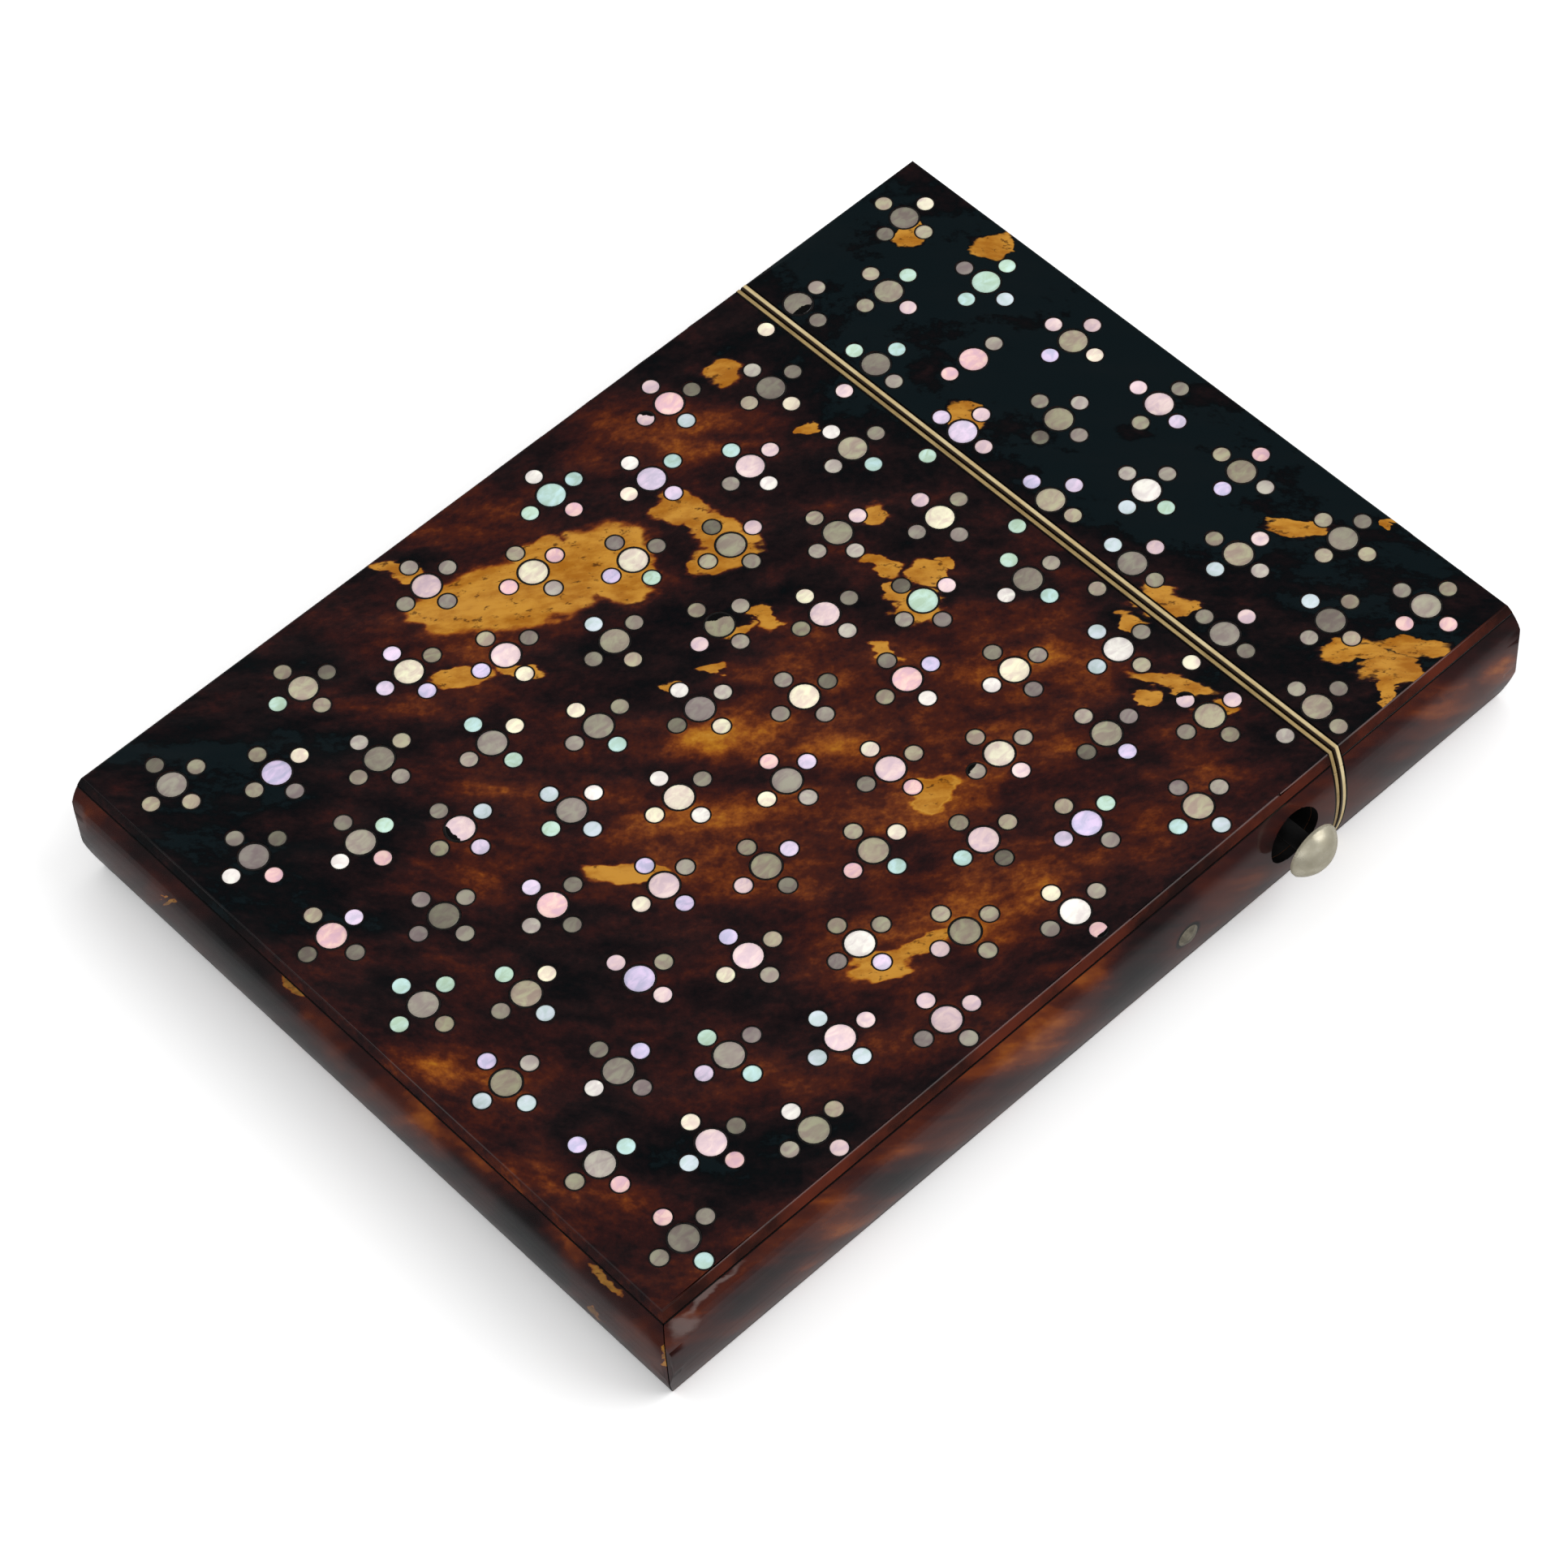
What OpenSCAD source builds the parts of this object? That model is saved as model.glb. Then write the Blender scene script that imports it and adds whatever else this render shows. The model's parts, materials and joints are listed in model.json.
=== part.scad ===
// Visiting card case: tortoiseshell over a wooden carcass, inlaid on both
// faces with mother-of-pearl discs, with a hinged end lid and a push catch.
// The case lies on its back face: X runs along it with the lid at +X, the
// catch is on the -Y side and the hinge on the +Y side, Z is up.

/* [Case] */
// Length of the closed case
case_l = 104; // [92:1:125]
// Width of the case, without the button and the hinge
case_w = 78; // [68:1:96]
// Thickness of the case
case_t = 13.5; // [11:0.25:16]
// How far the rounded sides stand out past the edges of the faces
bulge = 1.3; // [1:0.1:2.2]
// Rounding of the four corners, seen from above
corner_r = 1; // [0.4:0.1:2]
// Length of the lid, from the middle of the seam to its end
lid_l = 23.7; // [19:0.1:32]

/* [Walls] */
// Thickness of the shell plates on the two faces
plate_t = 1.1; // [0.8:0.1:1.4]
// Thickness of the shell veneer on the sides
veneer_t = 0.8; // [0.6:0.1:1]
// Thickness of the wooden boards under the plates of the body
board_t = 1.2; // [0.9:0.1:1.6]
// Thickness of the wall at the sides and ends, veneer and rail together
side_wall = 5.5; // [5:0.1:7]
// Thickness of the silk covered lining panels
lining_t = 0.3; // [0.2:0.05:0.5]
// Thickness of the tongue boards that guide the lid
tongue_t = 0.6; // [0.4:0.05:0.8]
// How far the tongue stands out of the body
tongue_reach = 4; // [2:0.25:6]
// How far the tongue boards go back inside the body
tongue_root = 10; // [6:0.5:16]

/* [Seam] */
// Gap between the two lips when the case is shut
seam_gap = 0.2; // [0.1:0.02:0.4]
// Width of the ivory lip on the body
body_lip_w = 0.45; // [0.35:0.05:0.9]
// Width of the ivory lip on the lid
lid_lip_w = 0.65; // [0.35:0.05:0.9]

/* [Inlay] */
// Diameter of the large discs
large_d = 2.9; // [2.2:0.1:3.2]
// Diameter of the small discs
small_d = 1.75; // [1.2:0.05:1.9]
// Gap between a large disc and each of the four small ones round it
small_gap = 0.36; // [0.36:0.02:0.7]
// Distance between rows of clusters, along the case
row_pitch = 7.57; // [7.2:0.01:9]
// Distance between clusters in a row, across the case
col_pitch = 10.98; // [10:0.01:13]
// Least distance from the middle of a large disc to the edge of the flat face
edge_margin = 4.5; // [4.25:0.25:7]
// How far the whole pattern stands off the middle line, towards the hinge
inlay_off = -0.8; // [-1:0.1:1]
// How far each row leans sideways from the one before it, as set by hand
row_lean = 0.13; // [-0.2:0.01:0.2]
// How far each cluster in a row stands ahead of the one before it
col_lean = -0.17; // [-0.2:0.01:0.2]
// How far the large discs wander from their even places
wander = 0.4; // [0:0.05:0.5]
// How far the small discs wander in their distance from the large one
small_wander = 0.1; // [0:0.02:0.1]
// How far the small discs wander round the large one, in degrees
small_turn = 7; // [0:1:9]

/* [Hinge] */
// Height of the hinge
hinge_h = 5; // [4:0.25:6]
// Outside diameter of the knuckles
knuckle_d = 1.6; // [1.4:0.1:2]
// Diameter of the hinge pin
hinge_pin_d = 0.7; // [0.5:0.05:0.8]
// How far the hinge axis lies outside the widest line of the side
hinge_out = 0.05; // [0.02:0.01:0.3]
// Depth of the leaves, inwards from the knuckle
leaf_w = 2.1; // [1.8:0.1:2.6]
// Diameter of the fixing pins
fixing_d = 0.7; // [0.5:0.05:0.9]
// Length of the fixing pins
fixing_l = 3.5; // [2.5:0.25:5]

/* [Catch] */
// Diameter of the button
button_d = 5.5; // [5:0.25:6.5]
// Depth of the round recess behind the button
recess_depth = 2.6; // [2.4:0.1:2.8]
// Thickness of the button's rim
button_rim = 0.3; // [0.2:0.05:0.6]
// Height of the button's dome above its rim
button_dome = 1.6; // [0.4:0.05:1.8]
// How far the top of the button stands out from the side
button_proud = 3.9; // [3.3:0.1:4.5]
// Distance from the seam to the middle of the button
button_back = 5.8; // [4.8:0.1:7]
// How far the button sits above the middle of the side
button_up = 1; // [0:0.1:1.2]
// Travel of the button
press = 1.2; // [1:0.05:1.3]
// Diameter of the button's stem
stem_d = 1.8; // [1.4:0.1:2.2]
// Distance from the button to the rivet that holds the spring
rivet_back = 13.3; // [10:0.1:20]
// How far the rivet sits below the middle of the side
rivet_down = 0.5; // [0:0.1:0.8]
// Diameter of the rivet's outer head
rivet_d = 2.3; // [1.5:0.1:2.6]
// Thickness of the leaf spring
spring_t = 0.4; // [0.3:0.05:0.5]
// Height of the leaf spring
spring_h = 5; // [4:0.25:5.5]
// Height of the hook
hook_h = 3; // [2:0.25:3.5]
// How far the hook's nose clears the keeper when the button is pressed
release = 0.6; // [0.4:0.05:0.7]

/* [Fits] */
// Glue line between pieces that are stuck together
glue = 0.06; // [0.04:0.01:0.1]
// Cement line round each disc
inlay_gap = 0.08; // [0.06:0.01:0.12]
// Extra clearance between the tongue and the boards of the lid
lid_clear = 0.25; // [0.2:0.05:0.4]
// Clearance between the tongue and the side walls of the lid
tongue_side_clear = 0.6; // [0.5:0.05:1]
// Radial clearance of the lid's knuckle on the hinge pin
hinge_fit = 0.05; // [0.03:0.01:0.08]
// Clearance round the moving parts of the hinge and the catch
play = 0.15; // [0.1:0.05:0.25]

/* [Hidden] */
$fn = 64;

shell_colour = "#3b1710";
veneer_colour = "#5a2418";
ivory_colour = "#d9c08a";
pearl_colour = "#d8cfc8";
wood_colour = "#8a5a34";
silk_colour = "#8c2f3c";
metal_colour = "#b9b4a2";

// Room left beyond a piece by the shapes that cut it
over = 1;

// The case is moved sideways so that the button and the hinge together stand
// centred over the origin.
knuckle_r = knuckle_d / 2;
hinge_proud = hinge_out + knuckle_r;
centre_y = (button_proud - hinge_proud) / 2;

// The rounded sides are one arc from face to face.
mid_z = case_t / 2;
arc_r = (mid_z * mid_z + bulge * bulge) / (2 * bulge);

// Places along the case
seam_x = case_l / 2 - lid_l;
body_rim_x = seam_x - seam_gap / 2;
lid_rim_x = seam_x + seam_gap / 2;
body_lip_x = body_rim_x - body_lip_w;
lid_lip_x = lid_rim_x + lid_lip_w;
body_shell_x = body_lip_x - glue;
lid_shell_x = lid_lip_x + glue;

// Places across the case
side_y = case_w / 2;
inner_y = side_y - side_wall;
inner_x = case_l / 2 - side_wall;
body_end_x = -case_l / 2 - over;
lid_end_x = case_l / 2 + over;

// The plan that cuts a veneer reaches past the veneer's inner face.
veneer_plan = bulge + veneer_t + over;

// Depths below a face
body_wall_z = plate_t + glue + board_t;
lid_board_t = board_t - lid_clear;
lid_wall_z = plate_t + glue + lid_board_t;

// Rounding of the corners of the tongue boards
tongue_corner = 2;

// Inlay. Rows are counted from the lid's end, clusters in a row from the
// catch side, and the small discs by quarter turns round the large one.
flat_l = case_l - 2 * bulge;
flat_w = case_w - 2 * bulge;
rows = floor((flat_l - 2 * edge_margin) / row_pitch) + 1;
cols = floor((flat_w - 2 * edge_margin) / col_pitch) + 1;
large_r = large_d / 2;
small_r = small_d / 2;
small_reach = large_r + small_gap + small_r;
cluster_r = small_reach + small_wander + small_r + 2 * inlay_gap;
lip_room = 3 * inlay_gap;
front_seed = 3;
back_seed = 11;
// Small discs that are missing and whose places have been filled in
front_lost = [[1, 4, 1], [1, 4, 3], [2, 6, 1], [10, 2, 2]];
back_lost = [[4, 1, 0], [9, 3, 3]];

// Hinge, its axis along Z beside the seam
hinge_y = side_y + hinge_out;
knuckle_room = knuckle_r + play;
leaf_edge_y = hinge_y - knuckle_room;
leaf_inner_y = leaf_edge_y - leaf_w;
hinge_low = mid_z - hinge_h / 2;
hinge_high = mid_z + hinge_h / 2;
knuckle_gap = 0.1;
lid_knuckle_share = 0.4;
lid_knuckle_h = hinge_h * lid_knuckle_share;
pin_fit = 0.03;
fixing_room = 0.05;
fixing_share = 0.55;
fixing_spread = hinge_h * fixing_share;
tab_lap = 0.5;

// Catch. The hook is at mid height, the button a little above it and the
// rivet a little below.
button_x = seam_x - button_back;
rivet_x = button_x - rivet_back;
button_top_y = -side_y - button_proud;
button_under_y = button_top_y + button_dome + button_rim;
recess_room = 0.2;
recess_r = button_d / 2 + recess_room;
recess_land = 0.3;
button_z = min(mid_z + button_up, case_t - body_wall_z - glue - recess_land - recess_r);
rivet_z = mid_z - rivet_down;
recess_floor_y = -side_y + recess_depth;
web_t = 0.8;
channel_y = recess_floor_y + web_t;
channel_room = 0.5;
seat = 0.05;
spring_y = channel_y + 2 * seat;
spring_face_y = spring_y + spring_t;
spring_tail = 2.4;
tip_setback = 1.4;
spring_tip_x = body_rim_x - tip_setback;
channel_end_x = rivet_x - spring_tail - 2 * channel_room;
channel_h = spring_h + 2 * channel_room;
shank_r = 0.5;
peen_r = 0.9;
peen_t = 0.4;
rivet_rise = 0.4;
hook_t = 0.6;
root_room = 0.4;
hook_root_x = button_x + peen_r + root_room;
hook_y = spring_face_y + seat;
hook_room = 0.7;
hook_slot_h = hook_h + 2 * hook_room;
keeper_t = 0.5;
keeper_land = 1.8;
keeper_edge_y = channel_y;
keeper_out_y = keeper_edge_y - keeper_land;
keeper_lap = 0.2;
keeper_h = hook_slot_h + 2 * keeper_lap;
nose_x = lid_shell_x + keeper_t + 2 * play;
nose_l = 1.5;
nose_tip_y = keeper_edge_y + release - press;
pocket_x = nose_x + nose_l + hook_room;

// Even rounded rectangle about the origin
module rounded_rect(l, w, r) {
    square([l - 2 * r, w], center = true);
    square([l, w - 2 * r], center = true);
    for (sx = [-1, 1], sy = [-1, 1])
        translate([sx * (l / 2 - r), sy * (w / 2 - r)]) circle(r);
}

// Cross-section of the case with both sides rounded, taken in by inset
module rounded_section(half, inset) {
    core = half - arc_r + sqrt(pow(arc_r - inset, 2) - mid_z * mid_z);
    translate([-core, 0]) square([2 * core, case_t]);
    for (s = [-1, 1]) intersection() {
        translate([s * (half - arc_r), mid_z]) circle(arc_r - inset);
        translate([s > 0 ? core - over : -half, 0]) square([half - core + over, case_t]);
    }
}

// The whole closed form, rounded on all four sides, taken in by inset
module form(inset) {
    intersection() {
        translate([-case_l / 2 - over, 0, 0]) rotate([90, 0, 90])
            linear_extrude(case_l + 2 * over) rounded_section(side_y, inset);
        translate([0, side_y + over, 0]) rotate([90, 0, 0])
            linear_extrude(case_w + 2 * over) rounded_section(case_l / 2, inset);
        linear_extrude(case_t)
            rounded_rect(case_l - 2 * inset, case_w - 2 * inset, corner_r);
    }
}

// A box from one corner to the other
module block(low, high) {
    translate(low) cube(high - low);
}

// Everything in the case is drawn round the middle of the case itself.
module placed() {
    translate([0, centre_y, 0]) children();
}

// The same piece at the back face when front is false
module at_face(front) {
    if (front) translate([0, 0, case_t]) mirror([0, 0, 1]) children();
    else children();
}

// Hand-set wandering between -1 and 1, the same every time: the last digits
// of a sine that is taken at far apart angles
stray_angles = [53.3, 127.1, 311.7, 74.7];
stray_gain = 4375.85;
function stray(seed, row, col, k) =
    let (v = stray_gain * sin([seed, row, col, k] * stray_angles))
    2 * (v - floor(v)) - 1;

// Clusters in a row, one fewer in every second row
function row_count(row) = cols - row % 2;
function row_step(row) = (rows - 1) / 2 - row;
function col_step(row, col) = col - (row_count(row) - 1) / 2;

function is_lost(lost, place) = len([for (p = lost) if (p == place) p]) > 0;

// Sets a place back to within reach of the middle.
function within(v, reach) = max(-reach, min(reach, v));

// A large disc stays on its side of the seam, clear of the lips. A small one
// that would fall on the lips goes across the seam, away from its large disc.
function clear_large(x) =
    x > seam_x ? max(x, lid_shell_x + large_r + lip_room)
               : min(x, body_shell_x - large_r - lip_room);
function clear_small(x, large_x) =
    let (body_x = body_shell_x - small_r - lip_room,
         lid_x = lid_shell_x + small_r + lip_room)
    x <= body_x || x >= lid_x ? x : large_x > seam_x ? body_x : lid_x;

function large_at(seed, row, col) = [
    clear_large(within(
        row_step(row) * row_pitch + col_step(row, col) * col_lean + wander * stray(seed, row, col, 1),
        flat_l / 2 - cluster_r)),
    within(
        inlay_off + col_step(row, col) * col_pitch + row_step(row) * row_lean
            + wander * stray(seed, row, col, 2),
        flat_w / 2 - cluster_r)
];
function small_at(seed, row, col, k) =
    let (reach = small_reach + small_wander * stray(seed, row, col, 3 + k),
         turn = 90 * k + small_turn * stray(seed, row, col, 7 + k),
         large = large_at(seed, row, col),
         p = large + reach * [cos(turn), sin(turn)])
    [clear_small(p.x, large.x), p.y];

function large_places(seed, in_lid) = [
    for (row = [0 : rows - 1], col = [0 : row_count(row) - 1])
        let (p = large_at(seed, row, col))
        if ((p.x > seam_x) == in_lid) p
];
function small_places(seed, lost, in_lid) = [
    for (row = [0 : rows - 1], col = [0 : row_count(row) - 1], k = [0 : 3])
        if (!is_lost(lost, [row, col, k]))
        let (p = small_at(seed, row, col, k))
        if ((p.x > seam_x) == in_lid) p
];

// Pearl discs of one size, as deep as the plate
module discs(places, r, front) {
    color(pearl_colour) placed() at_face(front)
        for (p = places)
            translate(p) cylinder(r = r, h = plate_t);
}

// Shell plate between two places along the case, drilled for its discs
module plate(low_x, high_x, large, small, front) {
    color(shell_colour) placed() at_face(front) intersection() {
        form(0);
        linear_extrude(plate_t) difference() {
            translate([low_x, -side_y - over]) square([high_x - low_x, case_w + 2 * over]);
            for (p = large) translate(p) circle(large_r + inlay_gap);
            for (p = small) translate(p) circle(small_r + inlay_gap);
        }
    }
}

// Wooden board under a plate
module board(low_x, high_x, thickness, front) {
    color(wood_colour) placed() at_face(front) intersection() {
        form(veneer_t + glue);
        block([low_x, -side_y, plate_t + glue], [high_x, side_y, plate_t + glue + thickness]);
    }
}

// Plan of the wall along one long side, mitred where it meets the end wall.
// side is -1 for the catch side and 1 for the hinge side, end is -1 for the
// body's end and 1 for the lid's.
module side_plan(side, end, rim_x, depth) {
    corner_x = end * case_l / 2;
    polygon([
        [corner_x - end * glue, side * side_y],
        [rim_x, side * side_y],
        [rim_x, side * (side_y - depth)],
        [corner_x - end * (depth + glue), side * (side_y - depth)]
    ]);
}

// Plan of the wall across one end, mitred at both sides
module end_plan(end, depth) {
    corner_x = end * case_l / 2;
    polygon([
        [corner_x, -side_y + glue],
        [corner_x, side_y - glue],
        [corner_x - end * depth, side_y - depth - glue],
        [corner_x - end * depth, -side_y + depth + glue]
    ]);
}

// Shell veneer bent over the rails; children give its plan
module veneer() {
    difference() {
        intersection() {
            form(0);
            translate([0, 0, plate_t + glue])
                linear_extrude(case_t - 2 * (plate_t + glue)) children();
        }
        form(veneer_t);
    }
}

// Wooden rail behind a veneer; children give its plan
module rail(wall_z) {
    intersection() {
        form(veneer_t + glue);
        translate([0, 0, wall_z + glue])
            linear_extrude(case_t - 2 * (wall_z + glue)) children();
    }
}

// Round room for the hinge's knuckles
module knuckle_cut() {
    translate([seam_x, hinge_y, hinge_low - play])
        cylinder(r = knuckle_room, h = hinge_h + 2 * play);
}

// Holes along X for the fixing pins of a leaf, from the rim into the wall
module fixing_row(x, length, r) {
    for (s = [-1, 1])
        translate([x, (leaf_inner_y + leaf_edge_y) / 2, mid_z + s * fixing_spread / 2])
            rotate([0, 90, 0]) cylinder(r = r, h = length);
}

// Round cut across the side wall at one height, from y1 to y2
module side_bore(x, z, y1, y2, r) {
    translate([x, y2, z]) rotate([90, 0, 0]) cylinder(r = r, h = y2 - y1);
}

module body_catch_side_veneer() {
    color(veneer_colour) placed() difference() {
        veneer() side_plan(-1, -1, body_shell_x, veneer_plan);
        side_bore(button_x, button_z, -side_y - over, -inner_y, recess_r);
        side_bore(rivet_x, rivet_z, -side_y - over, -inner_y, shank_r + seat);
    }
}

module body_hinge_side_veneer() {
    color(veneer_colour) placed() difference() {
        veneer() side_plan(1, -1, body_shell_x, veneer_plan);
        knuckle_cut();
    }
}

module body_end_veneer() {
    color(veneer_colour) placed() veneer() end_plan(-1, veneer_plan);
}

module body_catch_side_rail() {
    color(wood_colour) placed() difference() {
        rail(body_wall_z) side_plan(-1, -1, body_shell_x, side_wall);
        side_bore(button_x, button_z, -side_y - over, recess_floor_y, recess_r);
        side_bore(button_x, button_z, -side_y - over, -inner_y, stem_d / 2 + 2 * play);
        side_bore(rivet_x, rivet_z, -side_y - over, -inner_y, shank_r + seat);
        block([channel_end_x, channel_y, mid_z - channel_h / 2],
              [seam_x, -inner_y + over, mid_z + channel_h / 2]);
    }
}

module body_hinge_side_rail() {
    color(wood_colour) placed() difference() {
        rail(body_wall_z) side_plan(1, -1, body_shell_x, side_wall);
        knuckle_cut();
        fixing_row(body_rim_x - fixing_l - seat, fixing_l + over, fixing_d / 2 + fixing_room);
    }
}

module body_end_rail() {
    color(wood_colour) placed() rail(body_wall_z) end_plan(-1, side_wall);
}

// Ivory lip across a face, between two places along the case
module face_lip(low_x, high_x, wall_z, front) {
    color(ivory_colour) placed() at_face(front) intersection() {
        form(0);
        block([low_x, -side_y, 0], [high_x, side_y, wall_z]);
    }
}

// Ivory lip up one side, side -1 at the catch and 1 at the hinge
module side_lip(low_x, high_x, wall_z, side) {
    intersection() {
        form(0);
        translate([(low_x + high_x) / 2, side * (side_y + inner_y) / 2, mid_z])
            cube([high_x - low_x, side_wall, case_t - 2 * (wall_z + glue)], center = true);
    }
}

// Slot that lets the hook through the catch side
module hook_slot(low_x, high_x) {
    block([low_x, channel_y, mid_z - hook_slot_h / 2],
          [high_x, -inner_y + over, mid_z + hook_slot_h / 2]);
}

// Room for a hinge leaf in the lips of the hinge side
module leaf_cut() {
    block([body_lip_x - over, leaf_inner_y - glue, hinge_low - glue],
          [lid_lip_x + over, side_y + over, hinge_high + glue]);
}

module body_catch_side_lip() {
    color(ivory_colour) placed() difference() {
        side_lip(body_lip_x, body_rim_x, body_wall_z, -1);
        hook_slot(body_lip_x - over, body_rim_x + over);
    }
}

module body_hinge_side_lips() {
    color(ivory_colour) placed() difference() {
        side_lip(body_lip_x, body_rim_x, body_wall_z, 1);
        leaf_cut();
        block([body_lip_x - over, inner_y - over, hinge_low - glue],
              [body_rim_x + over, leaf_inner_y, hinge_high + glue]);
    }
}

// Board glued inside the body that stands out to guide the lid
module tongue(front) {
    length = tongue_root + tongue_reach;
    width = 2 * (inner_y - tongue_side_clear);
    color(silk_colour) placed() at_face(front)
        translate([body_rim_x + tongue_reach - length / 2, 0, body_wall_z + glue])
            linear_extrude(tongue_t) rounded_rect(length, width, tongue_corner);
}

// Silk covered panel against a board
module lining(low_x, high_x, wall_z, front) {
    color(silk_colour) placed() at_face(front)
        block([low_x, -inner_y + lining_t, wall_z + glue],
              [high_x, inner_y - lining_t, wall_z + glue + lining_t]);
}

// Low dome facing out of the catch side, on a round disc
module dome(x, z, top_y, base_y, d, rise) {
    dome_r = (pow(d / 2, 2) + pow(rise, 2)) / (2 * rise);
    intersection() {
        side_bore(x, z, top_y, base_y, d / 2);
        translate([x, top_y + dome_r, z]) sphere(dome_r);
    }
}

// Rivet through veneer, rail and spring, with a low round head outside
module catch_rivet() {
    color(metal_colour) placed() {
        difference() {
            dome(rivet_x, rivet_z, -side_y - rivet_rise, -side_y + rivet_rise, rivet_d, rivet_rise);
            form(-glue);
        }
        side_bore(rivet_x, rivet_z, -side_y - rivet_rise / 2, hook_y + peen_t, shank_r);
        side_bore(rivet_x, rivet_z, hook_y, hook_y + peen_t, peen_r);
    }
}

module catch_spring() {
    color(metal_colour) placed() difference() {
        block([rivet_x - spring_tail, spring_y, mid_z - spring_h / 2],
              [spring_tip_x, spring_face_y, mid_z + spring_h / 2]);
        side_bore(rivet_x, rivet_z, spring_y - over, spring_face_y + over, shank_r + seat);
        side_bore(button_x, button_z, spring_y - over, spring_face_y + over, shank_r + seat);
    }
}

// Domed button on a stem that is riveted through the spring
module catch_button() {
    color(metal_colour) placed() {
        dome(button_x, button_z, button_top_y, button_under_y, button_d, button_dome);
        side_bore(button_x, button_z, button_under_y - button_rim, spring_y - seat, stem_d / 2);
        side_bore(button_x, button_z, spring_y - 2 * seat, hook_y + peen_t, shank_r);
        side_bore(button_x, button_z, hook_y, hook_y + peen_t, peen_r);
    }
}

// Hook soldered to the tip of the spring, its nose behind the keeper
module catch_hook() {
    color(metal_colour) placed() translate([0, 0, mid_z - hook_h / 2])
        linear_extrude(hook_h) polygon([
            [hook_root_x, hook_y],
            [nose_x, hook_y],
            [nose_x, nose_tip_y],
            [nose_x + nose_l / 2, nose_tip_y],
            [nose_x + nose_l, hook_y],
            [nose_x + nose_l, hook_y + hook_t],
            [hook_root_x, hook_y + hook_t]
        ]);
}

// Plate let into the end of the lid's rail, which the nose holds on to
module catch_keeper() {
    color(metal_colour) placed()
        block([lid_shell_x, keeper_out_y, mid_z - keeper_h / 2],
              [lid_shell_x + keeper_t, keeper_edge_y, mid_z + keeper_h / 2]);
}

// One hinge leaf: a plate in the rim with tabs out to its knuckles.
// x1 and x2 bound the plate, levels lists the knuckles' lower and upper ends.
module leaf(x1, x2, levels, bore_r) {
    difference() {
        union() {
            block([x1, leaf_inner_y, hinge_low], [x2, leaf_edge_y, hinge_high]);
            for (z = levels) {
                block([x1, leaf_edge_y - tab_lap, z[0]], [x2, hinge_y - knuckle_r / 2, z[1]]);
                translate([seam_x, hinge_y, z[0]]) cylinder(r = knuckle_r, h = z[1] - z[0]);
            }
        }
        translate([seam_x, hinge_y, hinge_low - over]) cylinder(r = bore_r, h = hinge_h + 2 * over);
        fixing_row(x1 - over, x2 - x1 + 2 * over, fixing_d / 2 + fixing_room);
    }
}

module hinge_body_leaf() {
    color(metal_colour) placed()
        leaf(body_lip_x, body_rim_x, [
            [hinge_low, mid_z - lid_knuckle_h / 2 - knuckle_gap],
            [mid_z + lid_knuckle_h / 2 + knuckle_gap, hinge_high]
        ], hinge_pin_d / 2 + pin_fit);
}

module hinge_lid_leaf() {
    color(metal_colour) placed()
        leaf(lid_rim_x, lid_lip_x, [
            [mid_z - lid_knuckle_h / 2, mid_z + lid_knuckle_h / 2]
        ], hinge_pin_d / 2 + hinge_fit);
}

module hinge_pin() {
    color(metal_colour) placed()
        translate([seam_x, hinge_y, hinge_low]) cylinder(d = hinge_pin_d, h = hinge_h);
}

module hinge_body_fixings() {
    color(metal_colour) placed() fixing_row(body_rim_x - fixing_l, fixing_l, fixing_d / 2);
}

module hinge_lid_fixings() {
    color(metal_colour) placed() fixing_row(lid_rim_x, fixing_l, fixing_d / 2);
}

module lid_catch_side_veneer() {
    color(veneer_colour) placed() veneer() side_plan(-1, 1, lid_shell_x, veneer_plan);
}

module lid_hinge_side_veneer() {
    color(veneer_colour) placed() difference() {
        veneer() side_plan(1, 1, lid_shell_x, veneer_plan);
        knuckle_cut();
    }
}

module lid_end_veneer() {
    color(veneer_colour) placed() veneer() end_plan(1, veneer_plan);
}

module lid_catch_side_rail() {
    color(wood_colour) placed() difference() {
        rail(lid_wall_z) side_plan(-1, 1, lid_shell_x, side_wall);
        block([lid_shell_x - over, keeper_out_y - glue, mid_z - keeper_h / 2 - glue],
              [lid_shell_x + keeper_t + glue, -inner_y + over, mid_z + keeper_h / 2 + glue]);
        block([lid_shell_x - over, nose_tip_y - 2 * play, mid_z - hook_slot_h / 2],
              [pocket_x, -inner_y + over, mid_z + hook_slot_h / 2]);
    }
}

module lid_hinge_side_rail() {
    color(wood_colour) placed() difference() {
        rail(lid_wall_z) side_plan(1, 1, lid_shell_x, side_wall);
        knuckle_cut();
        fixing_row(lid_rim_x - over, fixing_l + seat + over, fixing_d / 2 + fixing_room);
    }
}

module lid_end_rail() {
    color(wood_colour) placed() rail(lid_wall_z) end_plan(1, side_wall);
}

module lid_catch_side_lip() {
    color(ivory_colour) placed() difference() {
        side_lip(lid_rim_x, lid_lip_x, lid_wall_z, -1);
        hook_slot(lid_rim_x - over, lid_lip_x + over);
    }
}

module lid_hinge_side_lips() {
    color(ivory_colour) placed() difference() {
        side_lip(lid_rim_x, lid_lip_x, lid_wall_z, 1);
        leaf_cut();
        block([lid_rim_x - over, inner_y - over, hinge_low - glue],
              [lid_lip_x + over, leaf_inner_y, hinge_high + glue]);
    }
}

// The two faces, front and back alike, of the body and of the lid
module body_front_plate() {
    plate(body_end_x, body_shell_x, large_places(front_seed, false),
          small_places(front_seed, front_lost, false), true);
}

module body_back_plate() {
    plate(body_end_x, body_shell_x, large_places(back_seed, false),
          small_places(back_seed, back_lost, false), false);
}

module body_front_board() {
    board(body_end_x, body_shell_x, board_t, true);
}

module body_back_board() {
    board(body_end_x, body_shell_x, board_t, false);
}

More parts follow.
